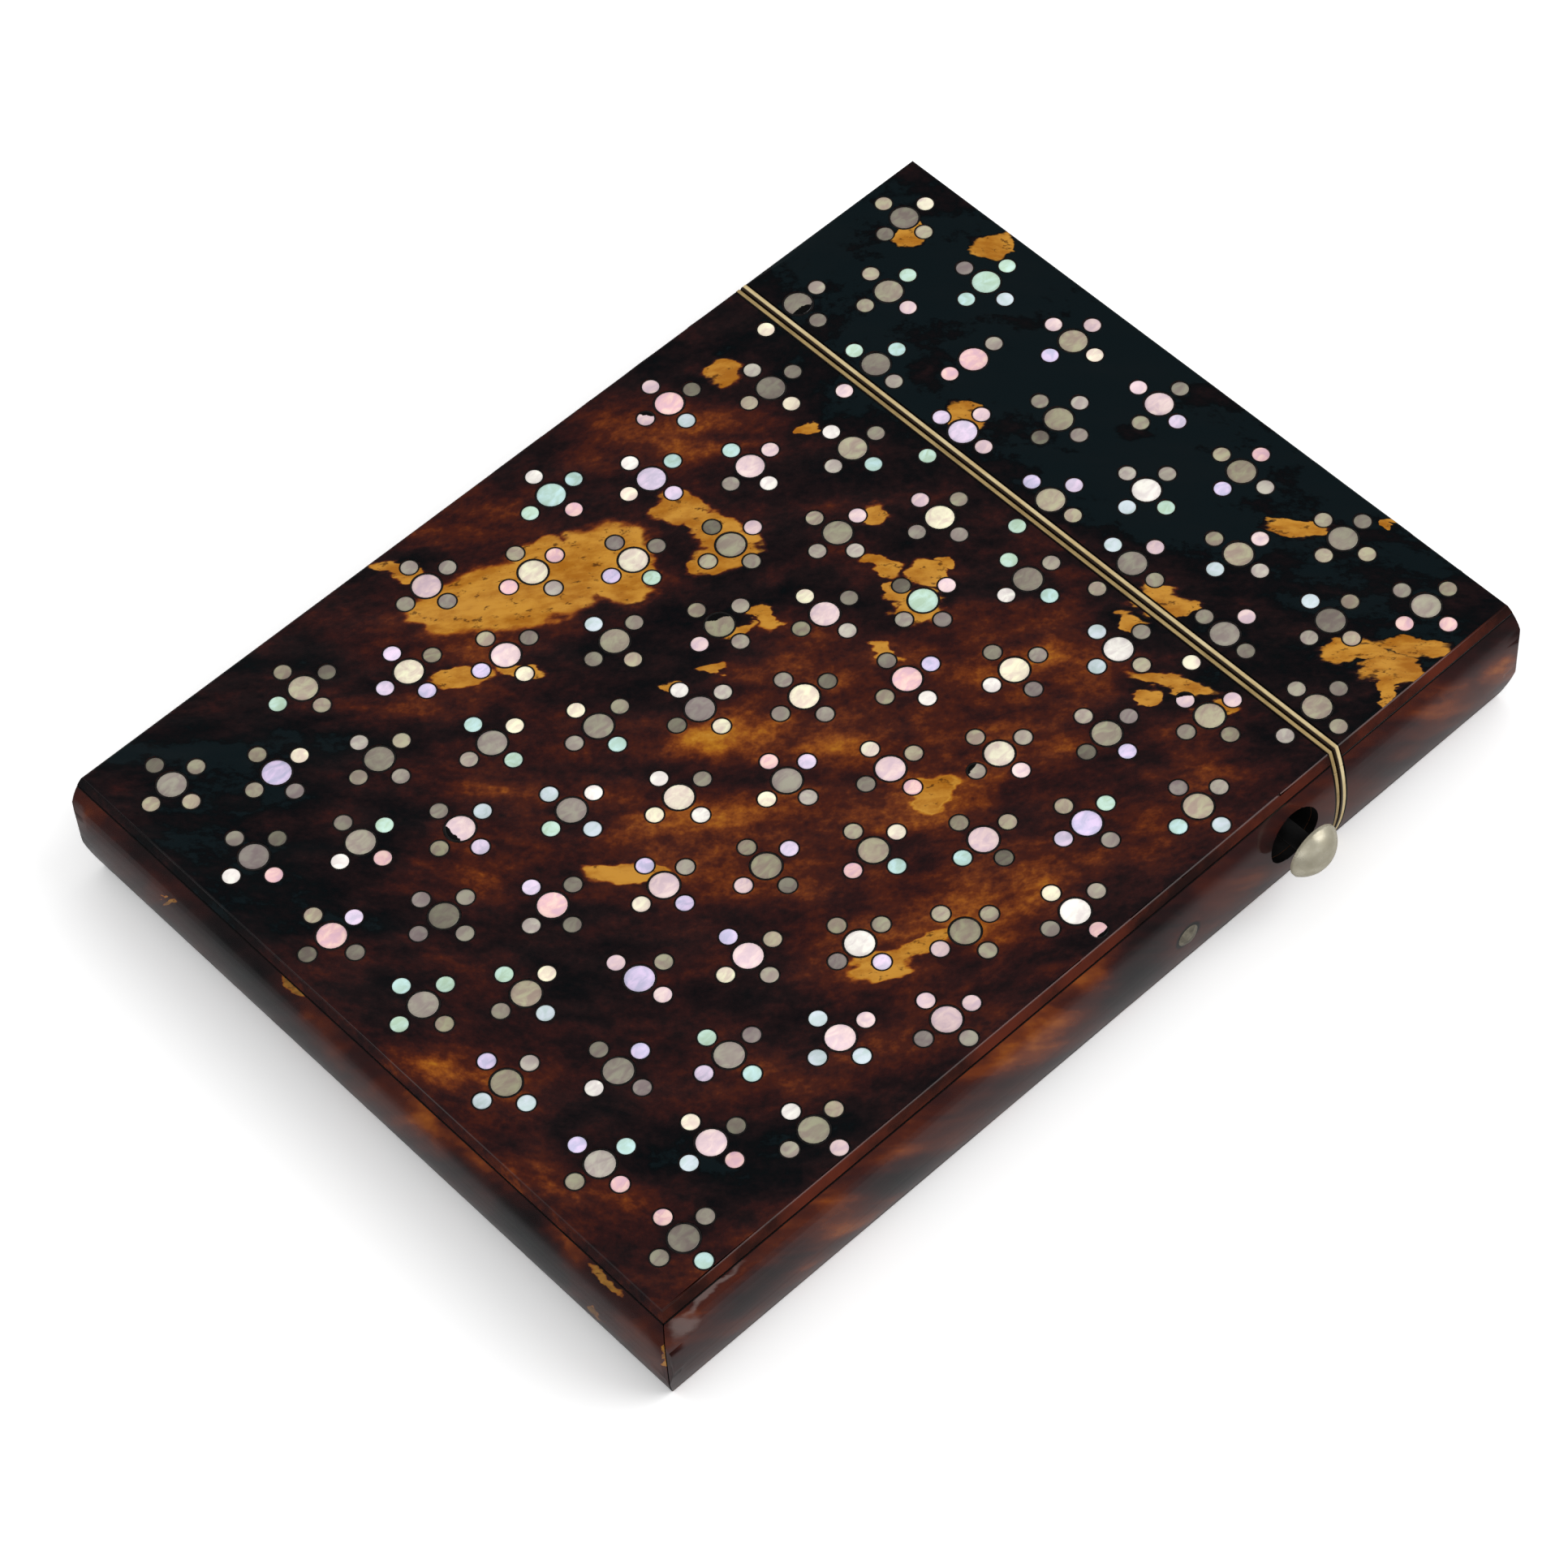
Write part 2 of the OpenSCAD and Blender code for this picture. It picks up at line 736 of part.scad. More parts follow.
module body_front_lip() {
    face_lip(body_lip_x, body_rim_x, body_wall_z, true);
}

module body_back_lip() {
    face_lip(body_lip_x, body_rim_x, body_wall_z, false);
}

module body_front_tongue() {
    tongue(true);
}

module body_back_tongue() {
    tongue(false);
}

module body_front_lining() {
    lining(-inner_x + lining_t, body_rim_x - tongue_root - glue, body_wall_z, true);
}

module body_back_lining() {
    lining(-inner_x + lining_t, body_rim_x - tongue_root - glue, body_wall_z, false);
}

module body_front_large_discs() {
    discs(large_places(front_seed, false), large_r, true);
}

module body_front_small_discs() {
    discs(small_places(front_seed, front_lost, false), small_r, true);
}

module body_back_large_discs() {
    discs(large_places(back_seed, false), large_r, false);
}

module body_back_small_discs() {
    discs(small_places(back_seed, back_lost, false), small_r, false);
}

module lid_front_plate() {
    plate(lid_shell_x, lid_end_x, large_places(front_seed, true),
          small_places(front_seed, front_lost, true), true);
}

module lid_back_plate() {
    plate(lid_shell_x, lid_end_x, large_places(back_seed, true),
          small_places(back_seed, back_lost, true), false);
}

module lid_front_board() {
    board(lid_shell_x, lid_end_x, lid_board_t, true);
}

module lid_back_board() {
    board(lid_shell_x, lid_end_x, lid_board_t, false);
}

module lid_front_lip() {
    face_lip(lid_rim_x, lid_lip_x, lid_wall_z, true);
}

module lid_back_lip() {
    face_lip(lid_rim_x, lid_lip_x, lid_wall_z, false);
}

module lid_front_lining() {
    lining(body_rim_x + tongue_reach + tongue_side_clear, inner_x - lining_t,
           lid_wall_z, true);
}

module lid_back_lining() {
    lining(body_rim_x + tongue_reach + tongue_side_clear, inner_x - lining_t,
           lid_wall_z, false);
}

module lid_front_large_discs() {
    discs(large_places(front_seed, true), large_r, true);
}

module lid_front_small_discs() {
    discs(small_places(front_seed, front_lost, true), small_r, true);
}

module lid_back_large_discs() {
    discs(large_places(back_seed, true), large_r, false);
}

module lid_back_small_discs() {
    discs(small_places(back_seed, back_lost, true), small_r, false);
}

body_front_plate();
body_back_plate();
body_front_board();
body_back_board();
body_catch_side_veneer();
body_hinge_side_veneer();
body_end_veneer();
body_catch_side_rail();
body_hinge_side_rail();
body_end_rail();
body_front_lip();
body_back_lip();
body_catch_side_lip();
body_hinge_side_lips();
body_front_tongue();
body_back_tongue();
body_front_lining();
body_back_lining();
body_front_large_discs();
body_front_small_discs();
body_back_large_discs();
body_back_small_discs();
catch_rivet();
catch_spring();
catch_button();
catch_hook();
hinge_body_leaf();
hinge_lid_leaf();
hinge_pin();
hinge_body_fixings();
hinge_lid_fixings();
lid_front_plate();
lid_back_plate();
lid_front_board();
lid_back_board();
lid_catch_side_veneer();
lid_hinge_side_veneer();
lid_end_veneer();
lid_catch_side_rail();
lid_hinge_side_rail();
lid_end_rail();
lid_front_lip();
lid_back_lip();
lid_catch_side_lip();
lid_hinge_side_lips();
lid_front_lining();
lid_back_lining();
lid_front_large_discs();
lid_front_small_discs();
lid_back_large_discs();
lid_back_small_discs();
catch_keeper();
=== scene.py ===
# %% [markdown]
# # A tortoiseshell card case inlaid with pearl
#
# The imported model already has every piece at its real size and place. This lesson gives those pieces
# their finish: polished tortoiseshell over wood, pearl discs bedded in dark cement, two aged ivory lips
# and a little worn nickel silver. Each step says what the real thing is before it makes it.

# %% Load the frame
import json
import math

import bmesh
import bpy
from mathutils import Euler, Matrix, Vector

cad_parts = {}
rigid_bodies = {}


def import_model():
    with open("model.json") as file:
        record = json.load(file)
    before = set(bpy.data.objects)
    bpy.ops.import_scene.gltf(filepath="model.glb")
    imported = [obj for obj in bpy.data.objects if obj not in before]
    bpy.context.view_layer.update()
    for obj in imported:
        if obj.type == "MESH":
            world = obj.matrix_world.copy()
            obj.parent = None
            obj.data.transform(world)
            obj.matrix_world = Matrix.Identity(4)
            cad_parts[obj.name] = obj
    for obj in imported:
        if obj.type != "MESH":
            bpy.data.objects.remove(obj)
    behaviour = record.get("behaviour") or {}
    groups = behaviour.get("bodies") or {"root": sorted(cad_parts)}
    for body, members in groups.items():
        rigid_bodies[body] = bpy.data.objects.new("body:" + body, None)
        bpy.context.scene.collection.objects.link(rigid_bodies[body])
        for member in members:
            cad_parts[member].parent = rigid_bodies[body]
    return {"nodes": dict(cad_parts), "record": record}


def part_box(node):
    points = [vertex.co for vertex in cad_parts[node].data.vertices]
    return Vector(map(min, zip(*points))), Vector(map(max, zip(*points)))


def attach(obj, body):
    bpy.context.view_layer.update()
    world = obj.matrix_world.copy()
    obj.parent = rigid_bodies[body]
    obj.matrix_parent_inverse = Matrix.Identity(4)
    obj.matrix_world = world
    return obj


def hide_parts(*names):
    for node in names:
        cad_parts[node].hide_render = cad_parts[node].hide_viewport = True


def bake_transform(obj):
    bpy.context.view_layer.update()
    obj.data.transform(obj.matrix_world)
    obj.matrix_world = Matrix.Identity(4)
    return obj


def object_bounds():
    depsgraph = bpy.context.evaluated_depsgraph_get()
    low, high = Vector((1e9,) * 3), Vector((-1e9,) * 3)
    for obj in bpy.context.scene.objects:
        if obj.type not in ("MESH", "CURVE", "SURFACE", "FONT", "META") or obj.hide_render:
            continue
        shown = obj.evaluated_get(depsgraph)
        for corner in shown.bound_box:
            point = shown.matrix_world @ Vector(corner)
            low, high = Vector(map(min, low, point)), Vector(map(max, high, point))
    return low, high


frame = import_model()
cad_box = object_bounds()
NODES = frame["nodes"]

# %% [markdown]
# ## Helpers
#
# Blender works in metres and in linear light, while a maker thinks in millimetres and picks a colour by
# its hex code. One value turns the first into the other, one function the second. A third function adds a
# node with its settings and its links, for shaders and for Geometry Nodes alike, and the three after it use
# it for what comes back all the time: a sum, a soft step, a mix of two colours.

# %% Length, colour and nodes
MM = 0.001


def linear(hex_code):
    channels = [int(hex_code[i : i + 2], 16) / 255 for i in (1, 3, 5)]
    return [c / 12.92 if c <= 0.04045 else ((c + 0.055) / 1.055) ** 2.4 for c in channels] + [1.0]


def add(tree, kind, inputs=None, **settings):
    node = tree.nodes.new(kind)
    for name, value in settings.items():
        setattr(node, name, value)
    for key, value in (inputs or {}).items():
        if isinstance(value, bpy.types.NodeSocket):
            tree.links.new(value, node.inputs[key])
        else:
            node.inputs[key].default_value = value
    return node


def math_node(tree, operation, *values):
    return add(tree, "ShaderNodeMath", dict(enumerate(values)), operation=operation).outputs[0]


def smooth_range(tree, value, start, end, low=0.0, high=1.0):
    inputs = {"Value": value, "From Min": start, "From Max": end, "To Min": low, "To Max": high}
    return add(tree, "ShaderNodeMapRange", inputs, interpolation_type="SMOOTHSTEP").outputs[0]


def mixed(tree, share, first, second):
    return add(tree, "ShaderNodeMix", {0: share, 6: first, 7: second}, data_type="RGBA").outputs[2]


print("a mid brown is", [round(c, 3) for c in linear("#7a3210")[:3]], "in linear light")

# %% [markdown]
# Three more put things into the scene or measure them: a material with its tree and its main shader, an
# object that is linked to the scene, and the box round some points.

# %% Materials, objects and boxes
def new_material(name):
    material = bpy.data.materials.new(name)
    material.use_nodes = True
    return material, material.node_tree, material.node_tree.nodes["Principled BSDF"]


def new_object(name, data):
    thing = bpy.data.objects.new(name, data)
    bpy.context.scene.collection.objects.link(thing)
    return thing


def box_of(points):
    """Lowest and highest corner of the box round some points"""
    return [Vector(end(point[i] for point in points) for i in range(3)) for end in (min, max)]


print("CAD box", [[round(v / MM, 2) for v in corner] for corner in cad_box], "mm")

# %% [markdown]
# ## The camera
#
# The photograph looks down on the case from the catch side, a little past its left end. The place, the
# turn, the tilt and the roll were worked out from the outline of the top face, so the picture and the
# render lie over each other.

# %% Camera
CAMERA_AT = Vector((-175.662, -207.209, 380.618)) * MM
CAMERA_AZIMUTH = math.radians(-39.703)
CAMERA_ELEVATION = math.radians(54.398)
CAMERA_ROLL = math.radians(-4.439)
LENS = 119.368
SENSOR = 36.0
CLIP_START = 10 * MM

towards_camera = Vector(
    (
        math.sin(CAMERA_AZIMUTH) * math.cos(CAMERA_ELEVATION),
        -math.cos(CAMERA_AZIMUTH) * math.cos(CAMERA_ELEVATION),
        math.sin(CAMERA_ELEVATION),
    )
)
level = Vector((0, 0, 1)).cross(towards_camera).normalized()
upright = towards_camera.cross(level)
right = math.cos(CAMERA_ROLL) * level + math.sin(CAMERA_ROLL) * upright
up = towards_camera.cross(right)

camera_data = bpy.data.cameras.new("camera")
camera_data.lens = LENS
camera_data.sensor_width = SENSOR
camera_data.clip_start = CLIP_START
camera = new_object("camera", camera_data)
camera_axes = Matrix((right, up, towards_camera)).transposed().to_4x4()
camera.matrix_world = Matrix.Translation(CAMERA_AT) @ camera_axes
bpy.context.scene.camera = camera
bpy.context.scene.view_settings.view_transform = "Standard"
print("camera", round(CAMERA_AT.length / MM), "mm from the middle of the back face")

# %% [markdown]
# ## The table and the light
#
# The case lies on a white matt card. Only to the camera the card is a little overexposed, as it is in the
# photograph, so the case throws the same short pale shadow. And only its strip next to the case is pale to
# a mirrored ray, because the upper halves of the polished sides mirror nothing bright in the photograph.

# %% The card
FLOOR_HALF = 2.0
CARD_LEVEL = 1.0
CARD_LEVEL_SEEN = 1.35
# Level at the near and the far edge of the strip, and where those edges are, in mm from the case
CARD_LEVEL_MIRRORED = (0.4, 0.05)
CARD_STRIP = (3.0, 9.0)


def mixed_value(tree, share, first, second):
    return add(tree, "ShaderNodeMix", {0: share, 2: first, 3: second}, data_type="FLOAT").outputs[0]


def white_card():
    material, tree, shader = new_material("white card")
    ray = add(tree, "ShaderNodeLightPath").outputs
    place = add(tree, "ShaderNodeSeparateXYZ", {0: add(tree, "ShaderNodeTexCoord").outputs["Object"]}).outputs
    middle = (cad_box[0] + cad_box[1]) / 2
    gaps = []
    for axis in (0, 1):
        half = (cad_box[1][axis] - cad_box[0][axis]) / 2
        off = math_node(tree, "ABSOLUTE", math_node(tree, "SUBTRACT", place[axis], middle[axis]))
        gaps.append(math_node(tree, "SUBTRACT", off, half))
    gap = math_node(tree, "MAXIMUM", *gaps)
    mirrored = smooth_range(tree, gap, CARD_STRIP[0] * MM, CARD_STRIP[1] * MM, *CARD_LEVEL_MIRRORED)
    level = mixed_value(tree, ray["Is Glossy Ray"], CARD_LEVEL, mirrored)
    level = mixed_value(tree, ray["Is Camera Ray"], level, CARD_LEVEL_SEEN)
    card = add(tree, "ShaderNodeBsdfDiffuse", {"Color": level})
    tree.links.new(card.outputs[0], tree.nodes["Material Output"].inputs["Surface"])
    tree.nodes.remove(shader)
    return material


floor_mesh = bpy.data.meshes.new("floor")
floor_corners = [(x * FLOOR_HALF, y * FLOOR_HALF, 0) for x, y in ((-1, -1), (1, -1), (1, 1), (-1, 1))]
floor_mesh.from_pydata(floor_corners, [], [(0, 1, 2, 3)])
floor_mesh.materials.append(white_card())
floor = new_object("floor", floor_mesh)
floor.location.z = cad_box[0].z
print("card of", 2 * FLOOR_HALF, "m under the case")

# %% [markdown]
# Round the card stands a grey tent that is open at the top. The dark opening is what the polished face
# mirrors towards the camera, so the blacks stay deep: mirrored rays see the tent and its opening, while
# matt surfaces are lit by an even dome.

# %% The tent and the dome
TENT_COLOUR = "#9a9c9c"
OPENING_COLOUR = "#1c2226"
# Height at which the tent begins to open and at which it is open, as the sine of the angle
OPENING_RISE = (0.3, 0.6)
DOME_LEVEL = 0.67

world = bpy.data.worlds.new("tent")
world.use_nodes = True
sky = world.node_tree
direction = add(sky, "ShaderNodeTexCoord").outputs["Generated"]
height = add(sky, "ShaderNodeSeparateXYZ", {0: direction}).outputs["Z"]
tent = mixed(sky, smooth_range(sky, height, *OPENING_RISE), linear(TENT_COLOUR), linear(OPENING_COLOUR))
matt = add(sky, "ShaderNodeLightPath").outputs["Is Diffuse Ray"]
seen = mixed(sky, matt, tent, [DOME_LEVEL] * 3 + [1.0])
sky.links.new(seen, sky.nodes["Background"].inputs["Color"])
world.cycles.sampling_method = "NONE"
bpy.context.scene.world = world
print("tent", TENT_COLOUR, "with an opening", OPENING_COLOUR)

# %% [markdown]
# Three broad soft sources add direction, the strongest from the right of the picture. Together with the
# dome they reach a level at which a colour renders about as it is written.

# %% Three soft sources
# Direction, strength and angle of each source
SUNS = {
    "key_light": ((0.62, -0.62, 0.75), 1.0, 46),
    "fill_light": ((-0.75, -0.45, 0.65), 0.38, 70),
    "back_light": ((-0.25, 0.85, 0.55), 0.28, 70),
}
for name, (source, strength, angle) in SUNS.items():
    sun = bpy.data.lights.new(name, "SUN")
    sun.energy = strength
    sun.angle = math.radians(angle)
    lamp = new_object(name, sun)
    lamp.rotation_euler = Vector(source).to_track_quat("Z", "Y").to_euler()
print("lit by", len(SUNS), "soft suns")

# %% [markdown]
# ## Polished tortoiseshell
#
# The shell is hawksbill: plates of keratin pressed flat, scraped and polished with rottenstone and oil. It
# is clear amber, and brown pigment lies in it in clouds that run together to black. So the material first
# works out how much pigment there is at each point, and only then looks up a colour for it, from honey
# through orange and red-brown to nearly black.
#
# The clouds stretch along one direction, across the corner of the plate. The pattern is therefore drawn in
# turned coordinates: u runs along the streaks, v across them, both in millimetres from the middle of the
# case. Broad noise lays the clouds, finer noise draws them out, and a list of soft ellipses says where the
# real plate is pale or dark. Each ellipse is a Mapping node in front of a spherical gradient, so the list
# can be read and changed.

# %% Where the front plates are pale, glowing or dark
# Each row: u, v, half length, half height in mm, and turn in degrees
PALE = [
    (-25.5, 10.8, 8.5, 3.4, 14), (-18.5, 15.2, 4.6, 3.0, 25), (-31.5, 8.8, 3.4, 1.9, 0),
    (-15.8, 12.8, 2.6, 3.2, 0), (-36.2, 13.6, 2.4, 0.9, -15), (-23.5, 15.0, 2.4, 1.8, 30),
    (-11.2, 20.6, 2.2, 1.9, 0), (-8.2, 18.2, 2.6, 1.9, -40), (-6.6, 15.6, 2.7, 2.1, 0),
    (-8.0, 13.8, 1.9, 1.3, 0), (-7.6, 36.6, 1.9, 1.6, -30), (0.2, 29.8, 1.0, 0.7, 20),
    (6.3, 19.4, 1.5, 1.3, 0), (7.2, 13.8, 1.6, 0.7, -20), (11.0, 13.0, 1.6, 1.6, 40),
    (13.0, 14.2, 0.8, 0.7, 0), (10.4, 9.2, 2.0, 1.8, 0), (8.2, 11.0, 1.0, 1.2, 0),
    (-3.4, 8.2, 0.9, 1.5, 20), (-5.6, 6.6, 1.5, 0.8, 20), (-7.4, 2.4, 1.1, 0.6, 10),
    (7.4, 4.4, 1.5, 0.7, -25), (-11.2, 0.6, 1.6, 0.6, 0), (-29.8, 1.6, 2.8, 1.0, 8),
    (-24.8, 2.4, 2.0, 0.6, -10), (12.4, -11.2, 2.2, 1.5, 35), (-14.0, -19.6, 3.6, 1.0, 0),
    (7.8, -29.0, 2.4, 1.3, 15), (11.4, -26.8, 2.6, 1.0, 30), (31.6, 9.8, 2.6, 1.5, -10),
    (29.6, 7.2, 1.2, 1.0, 0), (33.4, 8.6, 1.4, 0.9, 0), (32.8, 0.8, 3.4, 0.9, -18),
    (30.6, -0.8, 1.2, 0.9, 0), (36.8, -1.8, 1.6, 0.7, 0), (44.4, 17.8, 3.0, 0.9, -5),
    (52.4, 18.4, 0.6, 0.6, 0), (14.4, 31.2, 1.9, 1.6, 0), (9.0, 53.6, 1.5, 1.9, 0),
    (17.0, 51.6, 1.9, 1.6, 25), (49.0, 4.2, 3.2, 1.1, 8), (54.2, 4.6, 3.0, 1.0, -8),
    (52.0, 2.2, 2.5, 1.7, 0), (51.6, -0.2, 0.9, 1.9, 0),
]
# The same with a weight: how far the pigment thins there
GLOWING = [
    (-8, -5, 5, 2.4, 20, 0.5), (-6, -13, 5, 2.6, 10, 0.18), (3, -11, 8, 3, 0, 0.2),
    (3, -5, 6, 2, 0, 0.22), (-24, -46, 8, 5, -40, 0.22),
    (10, -27, 9, 4, 25, 0.08), (16, -22, 6, 3, 25, 0.08), (24, -12, 11, 6, 0, 0.12),
    (-27, -12, 8, 4, -10, 0.22), (-17, 27, 7, 3, 30, 0.1), (-7, 31, 6, 2.4, 30, 0.26),
    (-38, 4, 7, 4, 0, 0.06), (-24, 11, 13, 5, 14, 0.1), (-29, 1, 8, 2.4, 5, 0.08),
    (24, 3, 8, 8, 0, 0.1), (0, -59, 8, 4, 40, 0.26), (10, -37, 8, 3, 20, 0.12),
    (-8, -53, 6, 2, 0, 0.12), (10.5, 36.5, 2, 1.6, 0, 0.36), (30.4, 29.0, 1.6, 0.9, 0, 0.36),
    (-36, -2, 6, 3, 0, 0.1), (12, -15, 6, 4, 0, 0.08),
    (9, 54, 4, 4, 0, 0.12), (17, 51, 4, 3, 0, 0.12), (20, -28, 6, 3, 20, 0.14), (47, 3, 9, 4, 0, 0.06),
    (6, 2, 7, 4, 0, 0.2), (2, -20, 18, 6, 0, 0.2), (32, -8, 6, 5, 30, 0.1), (20, 17, 5, 3, 0, 0.16),
    (4, 16, 6, 3, 0, 0.16), (-4, 8, 5, 3, 0, 0.12), (16, 8, 8, 4, 0, 0.3), (8, 24, 10, 5, 0, 0.24),
]
DARK = [
    (-36, 17, 5, 3, 0, 0.12), (-54, -6, 13, 9, 0, 0.3), (-45, -18, 9, 8, -30, 0.22), (-40, -7, 6, 4, 0, 0.12),
    (26, 34, 40, 12, -45, 0.6), (8, 52, 9, 6, 0, 0.2), (-2, 36, 8, 8, 45, 0.16),
    (6, 24, 9, 5, 0, 0.2), (-2, 10, 9, 4, 0, 0.22), (-18, 4, 6, 3, 0, 0.22),
    (18, 13, 9, 5, -30, 0.16), (12, 5, 5, 4, 0, 0.16), (-12, -27, 9, 4, -10, 0.14),
    (-10, -47, 12, 5, -15, 0.24), (-26, -26, 10, 3, -20, 0.06), (-43, 11, 7, 5, 0, 0.16),
    (38, 1, 7, 4, -30, 0.12), (-22, 34, 12, 3, 45, 0.1), (30, -18, 8, 3, 40, 0.08),
]
print(len(PALE), "pale patches,", len(GLOWING), "glowing and", len(DARK), "dark clouds")

# %% [markdown]
# The grain opens out like a fan, so the noise is looked up in coordinates that lean and spread. All of them
# start from the middle of the case, in millimetres, and are turned to lie along the face in question.

# %% Coordinates along each face
FACE_TURN = (0, 0, math.radians(45))
LONG_SIDE_TURN = (math.radians(-90), 0, 0)
END_TURN = tuple(Matrix(((0, 1, 0), (0, 0, 1), (1, 0, 0))).to_euler())

plate_low, plate_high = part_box("body_front_plate")
CASE_MIDDLE = Vector((0, (plate_low.y + plate_high.y) / 2, 0))


def case_coordinates(tree, turn=(0, 0, 0), shift=(0, 0, 0)):
    """Millimetres from the middle of the case's back, turned to lie along a face"""
    place = add(tree, "ShaderNodeTexCoord")
    middle = Euler(turn).to_matrix() @ CASE_MIDDLE / MM
    inputs = {
        "Vector": place.outputs["Object"],
        "Rotation": turn,
        "Scale": (1 / MM, 1 / MM, 1 / MM),
        "Location": Vector(shift) - middle,
    }
    return add(tree, "ShaderNodeMapping", inputs).outputs[0]


def fanned(tree, place, lean, fan):
    """Coordinates whose lines of equal v lean and open out like the grain"""
    u, v, w = add(tree, "ShaderNodeSeparateXYZ", {0: place}).outputs
    spread = math_node(tree, "MULTIPLY_ADD", math_node(tree, "MULTIPLY", u, u), fan, 1.0)
    opened = math_node(tree, "MULTIPLY", v, spread)
    leaned = math_node(tree, "MULTIPLY_ADD", u, -lean, opened)
    return add(tree, "ShaderNodeCombineXYZ", {"X": u, "Y": leaned, "Z": w}).outputs[0]


def stretched_noise(tree, vector, length, height_mm, **inputs):
    scale = (1 / length, 1 / height_mm, 1 / height_mm)
    size = add(tree, "ShaderNodeMapping", {"Vector": vector, "Scale": scale})
    return add(tree, "ShaderNodeTexNoise", {"Vector": size.outputs[0], "Scale": 1.0, **inputs})


print("middle of the case at y", round(CASE_MIDDLE.y / MM, 3), "mm")

# %% [markdown]
# What lies at a known place is a soft ellipse: 1 in its middle and fading outwards. Many of them joined make
# a list of patches. Grime is simpler, since it gathers within a hair of every joint.

# %% Ellipses and joints
def soft_ellipse(tree, flat, u, v, half_length, half_height, turn):
    """1 in the middle, one half on the ellipse itself, 0 at twice its size"""
    inputs = {
        "Vector": flat,
        "Location": (u, v, 0),
        "Rotation": (0, 0, math.radians(turn)),
        "Scale": (2 * half_length, 2 * half_height, 1),
    }
    inside = add(tree, "ShaderNodeMapping", inputs, vector_type="TEXTURE").outputs[0]
    return add(tree, "ShaderNodeTexGradient", {"Vector": inside}, gradient_type="SPHERICAL").outputs["Fac"]


def union(tree, flat, ellipses):
    """The greatest of several soft ellipses"""
    fields = [soft_ellipse(tree, flat, *ellipse) for ellipse in ellipses]
    whole = fields[0]
    for field in fields[1:]:
        whole = math_node(tree, "MAXIMUM", whole, field)
    return whole


def joint_grime(tree, joints):
    """1 within a hair of a joint. Each joint: axis, middle, half distance, reach, all in mm"""
    plain = add(tree, "ShaderNodeSeparateXYZ", {0: case_coordinates(tree)}).outputs
    whole = 0.0
    for axis, middle, half, reach in joints:
        off = math_node(tree, "ABSOLUTE", math_node(tree, "SUBTRACT", plain[axis], middle))
        near = math_node(tree, "ABSOLUTE", math_node(tree, "SUBTRACT", off, half))
        whole = math_node(tree, "MAXIMUM", whole, smooth_range(tree, near, reach, 2 * reach, 1.0, 0.0))
    return whole


def middle_and_half(low, high):
    """Middle and half length of a span, in mm"""
    return (low + high) / 2 / MM, (high - low) / 2 / MM


body_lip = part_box("body_front_lip")
lid_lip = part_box("lid_front_lip")
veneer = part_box("body_catch_side_veneer")
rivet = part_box("catch_rivet")
SEAM = (0, *middle_and_half(body_lip[0].x, lid_lip[1].x), 0.09)
SIDE_JOINT = (2, *middle_and_half(veneer[0].z, veneer[1].z), 0.11)
# Painted shade fills a ring this much wider than the rivet's head, where the gap round the head lies in shadow
RIVET_RING = 0.2
rivet_u, rivet_half = middle_and_half(rivet[0].x, rivet[1].x)
rivet_v, _ = middle_and_half(rivet[0].z, rivet[1].z)
RIVET_SHADE = (rivet_u, rivet_v, rivet_half + RIVET_RING, rivet_half + RIVET_RING, 0)
print("seam at", round(SEAM[1], 2), "mm, rivet at", round(rivet_u, 2), "mm")

# %% [markdown]
# The colours are read off the shell itself: the ramp goes from no pigment to all of it, and the blue tint
# at its black end is a painted reflection. Round each clear patch the pigment thins a little before the edge.
# The sides are one thin veneer bent over wood, so the same function draws them too, in the plane of each side,
# with what can be seen there: glow, dark clouds, a rubbed corner whose pale colour is a painted highlight,
# painted shade round the rivet and the grime of the joints.

# %% The shell as a material
# The blue tint at the black end of this ramp is a painted reflection of the dark surroundings, not pigment
SHELL_RAMP = [
    (0.00, "#cb9136"), (0.14, "#b5741f"), (0.26, "#94501a"), (0.36, "#6c3216"), (0.46, "#4a2016"),
    (0.58, "#321817"), (0.70, "#201415"), (0.83, "#130f11"), (0.93, "#0a0d0f"), (1.00, "#0f181b"),
]
HONEY = ("#cd9136", "#a8681a")
VEINED_HONEY = ("#a5742e", "#6e4a20")
SPECK = "#4a280e"
# Dark of the joints and of chipped discs, and the painted shade round the rivet's head
GRIME_AND_SHADE = "#080606"
# Pale colour of the rubbed corner: a painted highlight, while the rubbing itself makes it rougher
RUBBED_HIGHLIGHT = "#8f7f7a"
# Length and height of each noise, in mm
RAGGED = (3.0, 1.8)
RAGGED_PUSH = (4.5, 2.8, 0)
FLECK = (0.7, 0.6)
MOTTLE = (3.4, 1.8)
SPECKS = (0.9, 0.6)
POLISH = (9.0, 4.0)
# Where a field or a noise begins and ends to count
NOISE_SPAN = (0.3, 0.7)
HALO_SPAN = (0.36, 0.5)
MOTTLE_SPAN = (0.34, 0.66)
SPECK_SPAN = (0.58, 0.7)
RUBBED_HIGHLIGHT_SPAN = (0.15, 0.75)
RIVET_SHADE_SPAN = (0.38, 0.5)
PATCH_EDGE = 0.495
# How strong each thing is
HALO = 0.3
SPECK_WEIGHT = 0.8
RUBBED_HIGHLIGHT_WEIGHT = 0.36
RUBBED_ROUGHER = 0.4
POLISH_ROUGHNESS = (0.1, 0.22)
WAVE_STRENGTH = 0.25
WAVE_DEPTH = 0.05
KERATIN_IOR = 1.54


def fill_ramp(ramp, stops):
    """Give a colour ramp its stops: place and colour of each"""
    while len(ramp.elements) < len(stops):
        ramp.elements.new(0.5)
    for element, (at, colour) in zip(ramp.elements, stops):
        element.position = at
        element.color = linear(colour)


